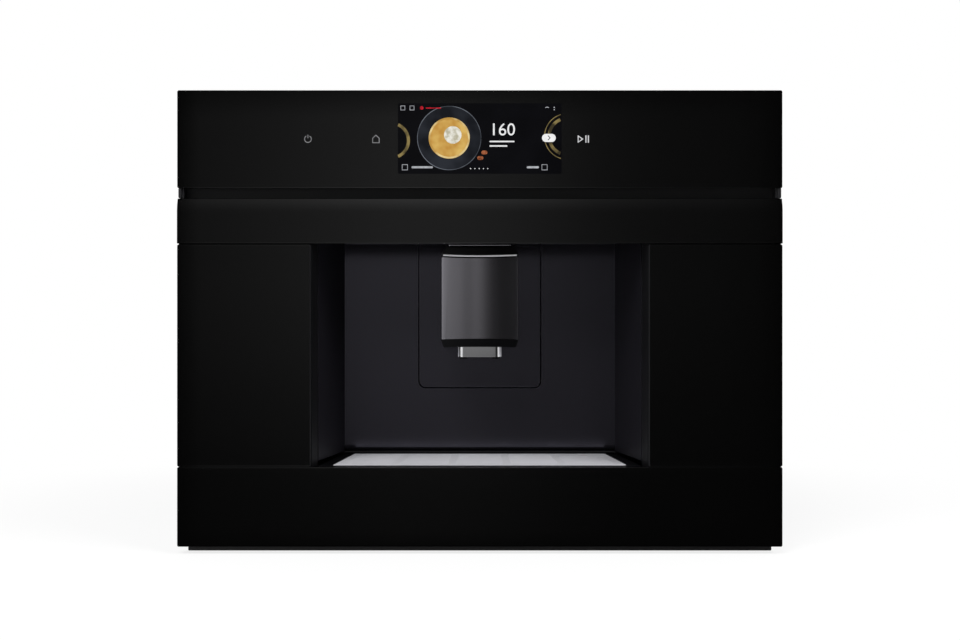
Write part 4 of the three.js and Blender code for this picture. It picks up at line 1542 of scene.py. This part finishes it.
# ---- Drinks outlet ---------------------------------------------------------------------------
@dataclass
class DrinksOutlet(Assembly):
    """The outlet that slides up and down: dark metal cover, black body, steel spout."""

    body: Body = Body.OUTLET
    bulge: float = 5.2
    corner: float = 0.9
    skin: float = 1.4
    brow: float = 1.6
    brow_inset: float = 2.0
    brow_lean: float = 0.2
    groove: float = 1.4
    smile: float = 1.3
    rise: float = 0.8
    fold: float = 0.26  # how far a face of the cover looks sideways to count as its fold, which is painted darker as shade
    half: float = 39.0
    waist: float = 36.9
    waist_rise: Span = (209.7, 295.9)
    shoulder_top: float = 33.5
    lip_foot: float = 36.3
    strip_half: float = 34.0
    hollow_half: float = 33.0
    hollow_rise: Span = (213.0, 290.0)
    spout_corner: float = 6.5
    nozzle_x: float = 16.5
    nozzle_drop: float = 2.1
    nozzle_radius: float = 3.8
    nozzle_length: float = 4.6
    bore_radius: float = 2.4

    def build(self) -> None:
        """Makes the cover, the body, the cap, the spout and the carriage."""
        self.make_cover()
        self.make_body()
        self.make_cap()
        self.make_spout()
        self.ease("outlet_carriage", Slot.GREY_PLASTIC, 0.5)

    def bow(self, piece: Piece, half: float, front: float) -> None:
        """Bows the front of a piece forward in the middle, by pulling its sides back.

        Args:
            piece: the object, cut into upright strips.
            half: half its width.
            front: how deep what is bowed reaches.
        """
        low, high = node_spans("outlet_cover")[2]
        for vertex in piece.data.vertices:
            place = gauge(vertex.co)
            if place.y < front:
                side = (place.x / half) ** 2
                dip = -self.smile if place.z > (low + high) / 2 else self.rise
                vertex.co.y += self.bulge * side * MM
                vertex.co.z += dip * (1 - side) * MM

    def strips(self, piece: Piece, half: float, count: int = 24) -> None:
        """Cuts a piece into upright strips.

        Args:
            piece: the object.
            half: half the width over which the cuts are spread.
            count: how many strips there are.
        """
        for i in range(1, count):
            x = -half + 2 * half * i / count
            with editing(piece, everything=True):
                bpy.ops.mesh.bisect(plane_co=(x * MM, 0, 0), plane_no=(1, 0, 0))

    def make_cover(self) -> None:
        """The folded metal cover with its bowed face, and the bright strip above it."""
        x, depth, z = node_spans("outlet_cover")
        half, front = x[1], depth[0]
        face_top = z[1] - self.brow - self.groove
        cover = block("outlet_metal_cover", x, depth, (z[0], face_top))
        bevel_edges(cover, lambda mid, way: way.z > AHEAD and mid.y < front + 1, self.corner, 4)
        with editing(cover):
            pick_faces(cover, facing(Side.UP, Side.DOWN, Side.BACK))
            bpy.ops.mesh.delete(type="FACE")
        self.strips(cover, half - self.corner)
        self.bow(cover, half, front + self.corner + 1)
        apply_modifier(cover, "SOLIDIFY", thickness=self.skin * MM, offset=-1.0)
        with editing(cover, "EDGE"):
            for height in (face_top, z[0]):
                pick_edges(cover, lambda mid, way: self.rim(mid, way, height, half, front))
            bpy.ops.mesh.bevel(offset=0.5 * MM, segments=3, affect="EDGES")
        brow_half = half - self.brow_inset
        brow = block("brow", both(brow_half), (front + 0.1, front + 12), (z[1] - self.brow, z[1]))
        with editing(brow, "EDGE"):
            pick_edges(
                brow, lambda mid, way: way.x > AHEAD and mid.z > z[1] - NEAR and mid.y < front + 1
            )
            bpy.ops.transform.translate(value=(0, self.brow_lean * MM, 0))
        self.strips(brow, brow_half)
        self.bow(brow, half, front + 1)
        round_edges(brow, 0.3, angle=40)
        paint(cover, Paint.DARK_STEEL)
        # the folded sides take a darker copy of the coat: painted shade
        paint_faces(cover, Paint.SHADED_FOLD, facing(Side.LEFT, Side.RIGHT, least=self.fold))
        # the brow takes the pale satin steel: a painted highlight along the top of the cover
        paint(brow, Paint.SATIN_STEEL_HIGHLIGHT)
        whole = smooth(weld("outlet_metal_cover", [cover, brow]), 40)
        self.fit(whole, Slot.DARK_STEEL, "outlet_cover")

    def rim(self, middle: Vector, way: Vector, height: float, half: float, front: float) -> bool:
        """Whether an edge runs along the outside of the cover at a height."""
        return way.z < NEAR and abs(middle.z - height) < NEAR and self.outer(middle, half, front)

    def outer(self, middle: Vector, half: float, front: float) -> bool:
        """Whether a place lies on the outside of the cover: at a side, on the face or in a corner.

        Args:
            middle: the place.
            half: half the cover's width.
            front: the depth of the face in the middle.

        Returns:
            True for the outside, False for the inside of the sheet.
        """
        across = abs(middle.x)
        bowed = front + self.bulge * (middle.x / half) ** 2
        in_corner = across > half - self.corner and middle.y < bowed + self.corner - 0.8
        return across > half - 0.2 or middle.y < bowed + self.skin / 4 or in_corner

    def make_body(self) -> None:
        """The black body: shoulder above the cover, lip under it, hollow inside."""
        _, depth, z = node_spans("outlet_body")
        front, back = depth
        low, high = self.waist_rise
        deep = front + self.bulge + 3
        core = block("outlet_black_body", both(self.waist), (deep, back), grown(self.waist_rise, 1))
        shoulder = block("shoulder", both(self.half), depth, (high, z[1]))
        lip = block("lip", both(self.half), depth, (z[0] - 1.2, low))
        for part, end, narrow in (
            (shoulder, Side.UP, self.shoulder_top),
            (lip, Side.DOWN, self.lip_foot),
        ):
            with editing(part):
                pick_faces(part, facing(end))
                squeeze(narrow / self.half)
        for part in (shoulder, lip):
            bevel_edges(part, lambda mid, way: way.z > 0.5 and mid.y < front + 1, self.corner, 5)
            self.strips(part, self.strip_half, 16)
            self.bow(part, self.half, front + 5)
            round_edges(part, 0.5, angle=40)
        carve(core, block("hollow", both(self.hollow_half), (deep + 3, back + 1), self.hollow_rise))
        round_edges(core, 0.4)
        body = smooth(weld("outlet_black_body", [core, shoulder, lip]))
        self.fit(body, Slot.BLACK_PLASTIC, "outlet_body", finish=Paint.DEEP_ABS)

    def make_cap(self) -> None:
        """The metal ledge above the shoulder."""
        cap = block("outlet_ledge", *node_spans("outlet_cap"))
        bevel_edges(cap, along(Side.UP), 2.5, 4)
        round_edges(cap, 0.5)
        self.fit(smooth(cap), Slot.DARK_STEEL, "outlet_cap", finish=Paint.DARK_STEEL)

    def make_spout(self) -> None:
        """The steel spout block with round corners and two nozzles under it."""
        x, depth, z = node_spans("outlet_spout")
        low = z[0] + self.nozzle_drop
        spout = block("steel_spout", x, depth, (low, z[1]))
        bevel_edges(spout, along(Side.UP), self.spout_corner, 12)
        bevel_edges(spout, lambda mid, way: way.z < 0.5 and mid.z < low + NEAR, 0.3, 2)
        lift = Vector((0, 0, 0.2)) * MM
        nozzles = []
        for side in (-1, 1):
            at = point(side * self.nozzle_x, sum(depth) / 2, low)
            nozzle = bar("nozzle", at + lift, self.nozzle_radius, self.nozzle_length, Lie.UPRIGHT)
            bore = bar("bore", at, self.bore_radius, 9, Lie.UPRIGHT)
            carve(nozzle, copied(bore, "bore_copy"))
            round_edges(nozzle, 0.4)
            paint(nozzle, Paint.DEEP_ABS)
            carve(spout, bore)
            nozzles.append(nozzle)
        paint(spout, Paint.POLISHED)
        paint_faces(spout, Paint.BLASTED, lambda at, normal: not -0.8 <= normal.x <= 0.62)
        self.fit(smooth(weld("steel_spout", [spout, *nozzles]), 40), Slot.STEEL, "outlet_spout")


# ---- Drip tray -------------------------------------------------------------------------------
@dataclass
class DripTray(Assembly):
    """The drip tray under its slotted steel grate, with the red float."""

    half_front: float = 144.7
    half_back: float = 133.8
    lip: float = 1.8
    rows: int = 11
    columns: int = 5
    pitch: float = 9.0
    first_row: float = 22.0
    margin: float = 9.0
    slot_width: float = 3.0
    gap: float = 7.0
    float_x: float = 109.0
    float_depth: float = 107.5
    float_hole: float = 5.5

    def build(self) -> None:
        """Makes the tray, the grate and the float."""
        self.ease("drip_tray", Slot.BLACK_PLASTIC, 0.35, Paint.DEEP_ABS)
        self.body = Body.GRATE
        self.make_grate()
        self.body = Body.FLOAT
        self.ease("tray_float", Slot.RED_PLASTIC, 0.6)

    def make_grate(self) -> None:
        """The grate: a tapered steel plate with turned-down edges and rows of round-ended slots."""
        _, depth, z = node_spans("drip_grate")
        plate = block("steel_grate", both(self.half_front), depth, z)
        with editing(plate):
            pick_faces(plate, facing(Side.BACK))
            squeeze(self.half_back / self.half_front)
        with editing(plate):
            pick_faces(plate, facing(Side.DOWN))
            bpy.ops.mesh.inset(thickness=self.lip * MM, depth=0)
            extrude(z=self.lip)
        slots = []
        for row in range(self.rows):
            at = self.first_row + row * self.pitch
            share = (at - depth[0]) / (depth[1] - depth[0])
            reach = self.half_front - self.margin + (self.half_back - self.half_front) * share
            length = (2 * reach - (self.columns - 1) * self.gap) / self.columns
            # the last slots leave room for the float's hole
            near_float = abs(at - self.float_depth) < self.pitch
            for column in range(self.columns - near_float):
                start = -reach + column * (length + self.gap)
                slots.append(self.slot(start, length, at, z))
        place = point(self.float_x, self.float_depth, z[1])
        hole = bar("hole", place, self.float_hole, 10, Lie.UPRIGHT)
        carve(plate, weld("slots", slots), hole)
        round_edges(plate, 0.25)
        self.fit(smooth(plate), Slot.STEEL, "drip_grate", finish=Paint.BLASTED)

    def slot(self, start: float, length: float, at: float, z: Span) -> Piece:
        """One round-ended slot to cut.

        Args:
            start: its left end.
            length: its length.
            at: its depth behind the front glass.
            z: the height of the plate.

        Returns:
            The cutting shape.
        """
        half = self.slot_width / 2
        cutter = block("slot", (start, start + length), around(at, half), grown(z))
        bevel_edges(cutter, along(Side.UP), half * 0.96)
        return cutter


# ---- Casing ----------------------------------------------------------------------------------
@dataclass(frozen=True)
class Vents:
    """Slits in a row, side by side, in one field of a sheet or in several."""

    count: int
    start: float
    pitch: float
    half: float
    fields: tuple[Span, ...]

    def cutters(self, out: Side, sheet: tuple[Span, Span, Span]) -> list[Piece]:
        """The shapes that cut the slits.

        Args:
            out: the side that the sheet looks out at.
            sheet: the sheet's ranges.

        Returns:
            One round-ended bar for each slit.
        """
        x, depth, z = sheet
        bars = []
        for i in range(self.count):
            across = around(self.start + self.pitch * i, self.half)
            for reach in self.fields:
                spans = {
                    Side.BACK: (across, grown(depth), reach),
                    Side.UP: (across, reach, grown(z)),
                }.get(out, (grown(x), across, reach))
                bars.append(block("vent", *spans))
                bevel_edges(bars[-1], along(out), self.half - 0.1, 4)
        return bars


@dataclass
class Casing(Assembly):
    """The sheet-metal casing with its vents and screws, the flange, the plinth and the hinges."""

    side_vents: Vents = Vents(10, 236, 12, 2.0, ((40, 90), (370, 420)))
    rear_vents: Vents = Vents(14, -130, 20, 2.5, ((330, 400),))
    top_vents: Vents = Vents(12, -110, 20, 2.5, ((300, 350),))
    inlet_hole: tuple[Span, Span] = ((-246, -210), (38, 68))
    side_margin: float = 16.0  # from the edges of a sheet to its pressed field
    rear_margin: float = 5.0
    top_margin: float = 18.0
    bead: float = 0.8
    screw_radius: float = 3.6
    screw_rise: float = 1.1
    outside: float = 279.0  # the outer faces that the screws sit on
    rear: float = 377.0
    roof: float = 447.0
    cross_arm: float = 2.0
    cross_half: float = 0.5
    cross_deep: float = 0.6
    head_edge: float = 0.7
    sunk: float = 0.9  # how deep a head sits in the pressed field of its sheet
    sunk_behind: float = 1.75

    def build(self) -> None:
        """Makes every sheet and its screws."""
        for side, name in ((Side.LEFT, "left_side_panel"), (Side.RIGHT, "right_side_panel")):
            cuts = self.side_vents.cutters(side, node_spans(name))
            self.make_sheet(name, side, self.side_margin, cuts)
        spans = node_spans("rear_panel")
        hole_x, hole_z = self.inlet_hole
        hole = block("inlet_hole", hole_x, grown(spans[1]), hole_z)
        cuts = [hole, *self.rear_vents.cutters(Side.BACK, spans)]
        self.make_sheet("rear_panel", Side.BACK, self.rear_margin, cuts)
        cuts = self.top_vents.cutters(Side.UP, node_spans("top_cover"))
        self.make_sheet("top_cover", Side.UP, self.top_margin, cuts)
        for node in ("base_plate", "front_flange", "equipment_deck", "lower_hinge", "upper_hinge"):
            self.ease(node, Slot.ZINC_SHEET, 0.3)
        self.ease("plinth_trim", Slot.BLACK_PLASTIC, 0.8)
        self.ease("door_magnet", Slot.DARK_STEEL, 0.5)
        self.ease("mains_inlet", Slot.BLACK_PLASTIC, 0.5)
        self.make_screws()

    def make_sheet(self, node: str, out: Side, margin: float, cuts: Sequence[Piece]) -> None:
        """A sheet with a shallow field pressed into its outer face, and holes.

        Args:
            node: the frame node that it stands for.
            out: the side that it looks out at.
            margin: how far the pressed field stays from the edges.
            cuts: the shapes to cut out.
        """
        sheet = block(f"{node}_sheet", *node_spans(node))
        with editing(sheet):
            pick_faces(sheet, facing(out))
            bpy.ops.mesh.inset(thickness=margin * MM, depth=0)
            bpy.ops.mesh.inset(thickness=self.bead * 2 * MM, depth=-self.bead * MM)
        carve(sheet, weld("vents", cuts))
        round_edges(sheet, 0.3)
        self.fit(smooth(sheet), Slot.ZINC_SHEET, node)

    def screw(self) -> Piece:
        """A pan-head screw with a cross recess, standing on the origin and pointing up.

        Returns:
            The pattern that every screw is copied from.
        """
        rise, deep = self.screw_rise, self.cross_deep
        middle = Vector((0, 0, rise / 2 * MM))
        head = bar("screw", middle, self.screw_radius, rise, Lie.UPRIGHT, 20)
        bevel_edges(head, lambda mid, way: way.z < NEAR and mid.z > rise - NEAR, self.head_edge)
        for wide, long in ((self.cross_arm, self.cross_half), (self.cross_half, self.cross_arm)):
            carve(head, block("cross", both(wide), around(HALF_DEPTH, long), around(rise, deep)))
        return smooth(head)

    def screw_places(self) -> list[tuple[Side, Vector]]:
        """Where the screws sit.

        Returns:
            The side that each looks out at, and its place in metres.
        """
        places = []
        for depth in (34, 202, 369):
            for z in (8, 437):
                places.append((Side.LEFT, point(-self.outside, depth, z)))
                places.append((Side.RIGHT, point(self.outside, depth, z)))
        for x in (-266, -133, 0, 133, 266):
            for z in (13, 434):
                places.append((Side.BACK, point(x, self.rear, z)))
        for x in (-270, 0, 270):
            for depth in (36, 366):
                places.append((Side.UP, point(x, depth, self.roof)))
        return places

    def make_screws(self) -> None:
        """The casing screws on the sides, the rear and the top."""
        turns = {
            Side.LEFT: (0, -QUARTER, 0),
            Side.RIGHT: (0, QUARTER, 0),
            Side.BACK: (-QUARTER, 0, 0),
            Side.UP: (0, 0, 0),
        }
        pattern = self.screw()
        screws = []
        for side, place in self.screw_places():
            screw = copied(pattern, "screw_copy")
            screw.rotation_euler = turns[side]
            sunk = self.sunk_behind if side is Side.BACK else self.sunk
            screw.location = place - side.value * sunk * MM
            bpy.ops.object.transform_apply(location=True, rotation=True, scale=True)
            screws.append(screw)
        bpy.data.objects.remove(pattern)
        self.fit(weld("casing_screws", screws), Slot.STEEL)


# ---- What is behind the door and inside the casing -------------------------------------------
@dataclass
class Containers(Assembly):
    """The containers and covers behind the door."""

    def build(self) -> None:
        """Eases each moulding."""
        for node in ("water_tank", "bean_hopper"):
            self.ease(node, Slot.CLEAR_PLASTIC, 0.8)
        for node in (
            "tank_lid",
            "hopper_lid",
            "grounds_container",
            "right_fascia",
            "brew_unit_cover",
        ):
            self.ease(node, Slot.BLACK_PLASTIC, 0.8)
        self.body = Body.LATCH
        self.ease("latch_lever", Slot.RED_PLASTIC, 0.8)
        self.body = Body.GRIND_SELECTOR
        self.ease("grind_knob", Slot.GREY_PLASTIC, 0.3)


@dataclass
class Works(Assembly):
    """The grinder, brew unit, water circuit and boards inside the casing."""

    mouldings: tuple[str, ...] = ("grinder_housing", "brew_unit_frame")
    metals: tuple[str, ...] = ("grinder_motor", "brew_motor", "pump")

    def build(self) -> None:
        """Eases the mouldings, the motors, the heater and the boards."""
        for node in self.mouldings:
            self.ease(node, Slot.GREY_PLASTIC, 0.4)
        for node in self.metals:
            self.ease(node, Slot.DARK_STEEL, 0.4)
        self.ease("thermoblock", Slot.ALUMINIUM, 0.5)
        self.ease("power_board", Slot.CIRCUIT_BOARD, 0.3)
        self.ease("control_board", Slot.CIRCUIT_BOARD, 0.2)

    def paint_rest(self, nodes: dict[str, Piece], slots: dict[str, str]) -> None:
        """Gives every frame node that still shows its slot's finish.

        Args:
            nodes: the frame's nodes.
            slots: the slot's name for each node's name.
        """
        for name, node in nodes.items():
            if not node.hide_render:
                paint(node, SLOT_PAINT[Slot(slots[name])])
                log.info("painted %s", name)


# ---- Studio ----------------------------------------------------------------------------------
@dataclass
class Studio:
    """Floor, light and camera."""

    distance: float = 1350.0
    eye_height: float = 229.5
    eye_x: float = 0.2
    lens: float = 51.63
    sensor: float = 36.0
    ambient: float = 0.5
    shadow_reach: Span = (0.35, 0.9)  # metres from the middle, over which the floor turns white
    key_place: tuple[float, float, float] = (-650.0, -1900.0, 2160.0)
    key_size: float = 1.2
    key_watts: float = 62.0
    fill_place: tuple[float, float, float] = (1420.0, -1280.0, 2160.0)
    fill_size: float = 1.1
    fill_share: float = 0.6
    lamp_aim: tuple[float, float, float] = (0.0, 60.0, 200.0)
    dusk: float = 0.15  # half the band over which the room turns from its front to its back
    brightest: float = 3.0
    # what gloss sees to the left and right of the camera, by degrees, and above and below it
    sweep: tuple[Span, ...] = (
        (-90, 1.0), (-50, 1.25), (-36, 1.15), (-31, 0.27), (-13.6, 0.3), (-12.2, 0.095),
        (-8.4, 0.17), (-3.3, 0.29), (-0.8, 0.28), (1.7, 0.21), (3.4, 0.145), (5.0, 0.092),
        (7.4, 0.057), (9.9, 0.045), (12.2, 0.02), (42, 0.02), (50, 1.1), (60, 1.1), (90, 1.0),
    )
    rise: tuple[Span, ...] = (
        (-90, 3.0), (-40, 3.0), (-20, 1.2), (-9.5, 0.18), (-8.3, 0.2), (-6.6, 0.24), (-5, 0.4),
        (-3.3, 0.52), (-1.2, 0.74), (1.5, 0.97), (5.6, 1.0), (9.4, 1.0), (14, 1.05), (20, 1.2),
        (30, 1.4), (48, 1.8), (58, 2.6), (90, 3.0),
    )

    def build(self) -> None:
        """Makes the camera first, then the floor, the lamps and the world."""
        self.make_camera()
        self.make_floor()
        fill_watts = self.key_watts * self.fill_share
        self.make_lamp("key", point(*self.key_place), self.key_size, self.key_watts)
        self.make_lamp("fill", point(*self.fill_place), self.fill_size, fill_watts)
        self.make_world()

    def make_camera(self) -> None:
        """A straight-on camera at the height of the middle of the front."""
        camera = bpy.data.cameras.new("camera")
        camera.lens = self.lens
        camera.sensor_width = self.sensor
        eye = bpy.data.objects.new("camera", camera)
        bpy.context.scene.collection.objects.link(eye)
        eye.location = point(self.eye_x, -self.distance, self.eye_height)
        eye.rotation_euler = (QUARTER, 0, 0)
        bpy.context.scene.camera = eye

    def make_floor(self) -> None:
        """A pale floor that fades to white and keeps the shadow."""
        deselect()
        bpy.ops.mesh.primitive_circle_add(
            vertices=64, radius=6, fill_type="NGON", location=(0, 0, -0.0004)
        )
        floor = new_piece("floor")
        made = bpy.data.materials.new("pale_floor")
        made.use_nodes = True
        tree = made.node_tree
        shader = tree.nodes["Principled BSDF"]
        shader.inputs["Base Color"].default_value = linear("ededed")
        shader.inputs["Roughness"].default_value = 0.9
        shader.inputs["Specular IOR Level"].default_value = 0.0
        white = add_node(tree, "ShaderNodeEmission", {"Color": linear("ffffff"), "Strength": 1.0})
        seen = add_node(tree, "ShaderNodeLightPath").outputs["Is Camera Ray"]
        place = add_node(tree, "ShaderNodeTexCoord").outputs["Object"]
        away = add_node(tree, "ShaderNodeVectorMath", links={0: place}, operation="LENGTH")
        near, far = self.shadow_reach
        pale = add_node(
            tree,
            "ShaderNodeMapRange",
            {"From Min": near, "From Max": far, "To Min": 0.8, "To Max": 1.0},
            {"Value": away.outputs["Value"]},
            interpolation_type="SMOOTHSTEP",
        )
        share = add_node(
            tree, "ShaderNodeMath", links={0: seen, 1: pale.outputs[0]}, operation="MULTIPLY"
        )
        links = {0: share.outputs[0], 1: shader.outputs[0], 2: white.outputs[0]}
        mixed = add_node(tree, "ShaderNodeMixShader", links=links)
        tree.links.new(mixed.outputs[0], tree.nodes["Material Output"].inputs["Surface"])
        floor.data.materials.append(made)
        floor.visible_glossy = False

    def make_lamp(self, name: str, where: Vector, size: float, watts: float) -> None:
        """A large soft lamp aimed at the front, which nothing mirrors.

        Args:
            name: its name.
            where: its place in metres.
            size: its side in metres.
            watts: its power.
        """
        lamp = bpy.data.lights.new(name, "AREA")
        lamp.size = size
        lamp.energy = watts
        holder = bpy.data.objects.new(name, lamp)
        bpy.context.scene.collection.objects.link(holder)
        holder.location = where
        aim = point(*self.lamp_aim) - where
        holder.rotation_euler = aim.to_track_quat("-Z", "Y").to_euler()
        holder.visible_camera = False
        holder.visible_glossy = False

    def make_world(self) -> None:
        """A white room with a dim window-lit side behind the camera, as gloss sees it."""
        world = bpy.data.worlds.new("studio")
        bpy.context.scene.world = world
        world.use_nodes = True
        tree = world.node_tree
        tree.nodes.clear()
        way = add_node(tree, "ShaderNodeTexCoord").outputs["Generated"]
        parts = add_node(tree, "ShaderNodeSeparateXYZ", links={0: way}).outputs
        across = self.profile(tree, parts["X"], self.sweep)
        upright = self.profile(tree, parts["Z"], self.rise)
        front = add_node(
            tree, "ShaderNodeMath", links={0: across, 1: upright}, operation="MULTIPLY"
        ).outputs[0]
        values = {"From Min": -self.dusk, "From Max": self.dusk}
        behind = add_node(tree, "ShaderNodeMapRange", values, {"Value": parts["Y"]}).outputs[0]
        path = add_node(tree, "ShaderNodeLightPath").outputs
        clear = add_node(
            tree,
            "ShaderNodeMath",
            links={0: path["Is Camera Ray"], 1: path["Is Transmission Ray"]},
            operation="MAXIMUM",
        ).outputs[0]
        # the room is white behind the machine; gloss sees it, the rest gets even light; the
        # camera and clear plastic see white
        level = front
        for factor, values, plain in (
            (behind, {"B": 1.0}, "A"),
            (path["Is Glossy Ray"], {"A": self.ambient}, "B"),
            (clear, {"B": 1.0}, "A"),
        ):
            links = {"Factor": factor, plain: level}
            level = add_node(tree, "ShaderNodeMix", values, links, data_type="FLOAT").outputs[0]
        values = {"Color": linear("ffffff")}
        light = add_node(tree, "ShaderNodeBackground", values, {"Strength": level})
        output = add_node(tree, "ShaderNodeOutputWorld")
        tree.links.new(light.outputs[0], output.inputs["Surface"])

    def profile(self, tree: Tree, part: Socket, stops: Sequence[Span]) -> Socket:
        """A brightness that follows the angle of a direction.

        Args:
            tree: the world's node tree.
            part: the direction's share along an axis, which is the sine of the angle.
            stops: degrees from -90 to 90 and the brightness there.

        Returns:
            The brightness output.
        """
        angle = add_node(tree, "ShaderNodeMath", links={0: part}, operation="ARCSINE").outputs[0]
        values = {"From Min": -QUARTER, "From Max": QUARTER}
        share = add_node(tree, "ShaderNodeMapRange", values, {"Value": angle}).outputs[0]
        top = self.brightest
        levels = [(turn / 180 + 0.5, (grey / top,) * 3 + (1.0,)) for turn, grey in stops]
        dim = ramp(tree, share, levels)
        return add_node(tree, "ShaderNodeMath", {1: top}, {0: dim}, operation="MULTIPLY").outputs[0]


def main() -> None:
    """Loads the frame, builds every sub-assembly and sets up the studio."""
    logging.basicConfig(level=logging.INFO, format="%(message)s")
    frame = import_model()
    bpy.context.scene.view_settings.view_transform = "Standard"
    Studio().build()
    works = Works()
    for assembly in (
        ControlPanel(),
        Door(),
        CupNiche(),
        DrinksOutlet(),
        DripTray(),
        Casing(),
        Containers(),
        works,
    ):
        assembly.build()
        for piece in assembly.pieces:
            faces = len(piece.data.polygons)
            log.info("%s: %s, %d faces", type(assembly).__name__, piece.name, faces)
    slots = {part["node"]: part["material_slot"] for part in frame["record"]["subparts"]}
    works.paint_rest(frame["nodes"], slots)
    deselect()


if __name__ == "__main__":
    main()
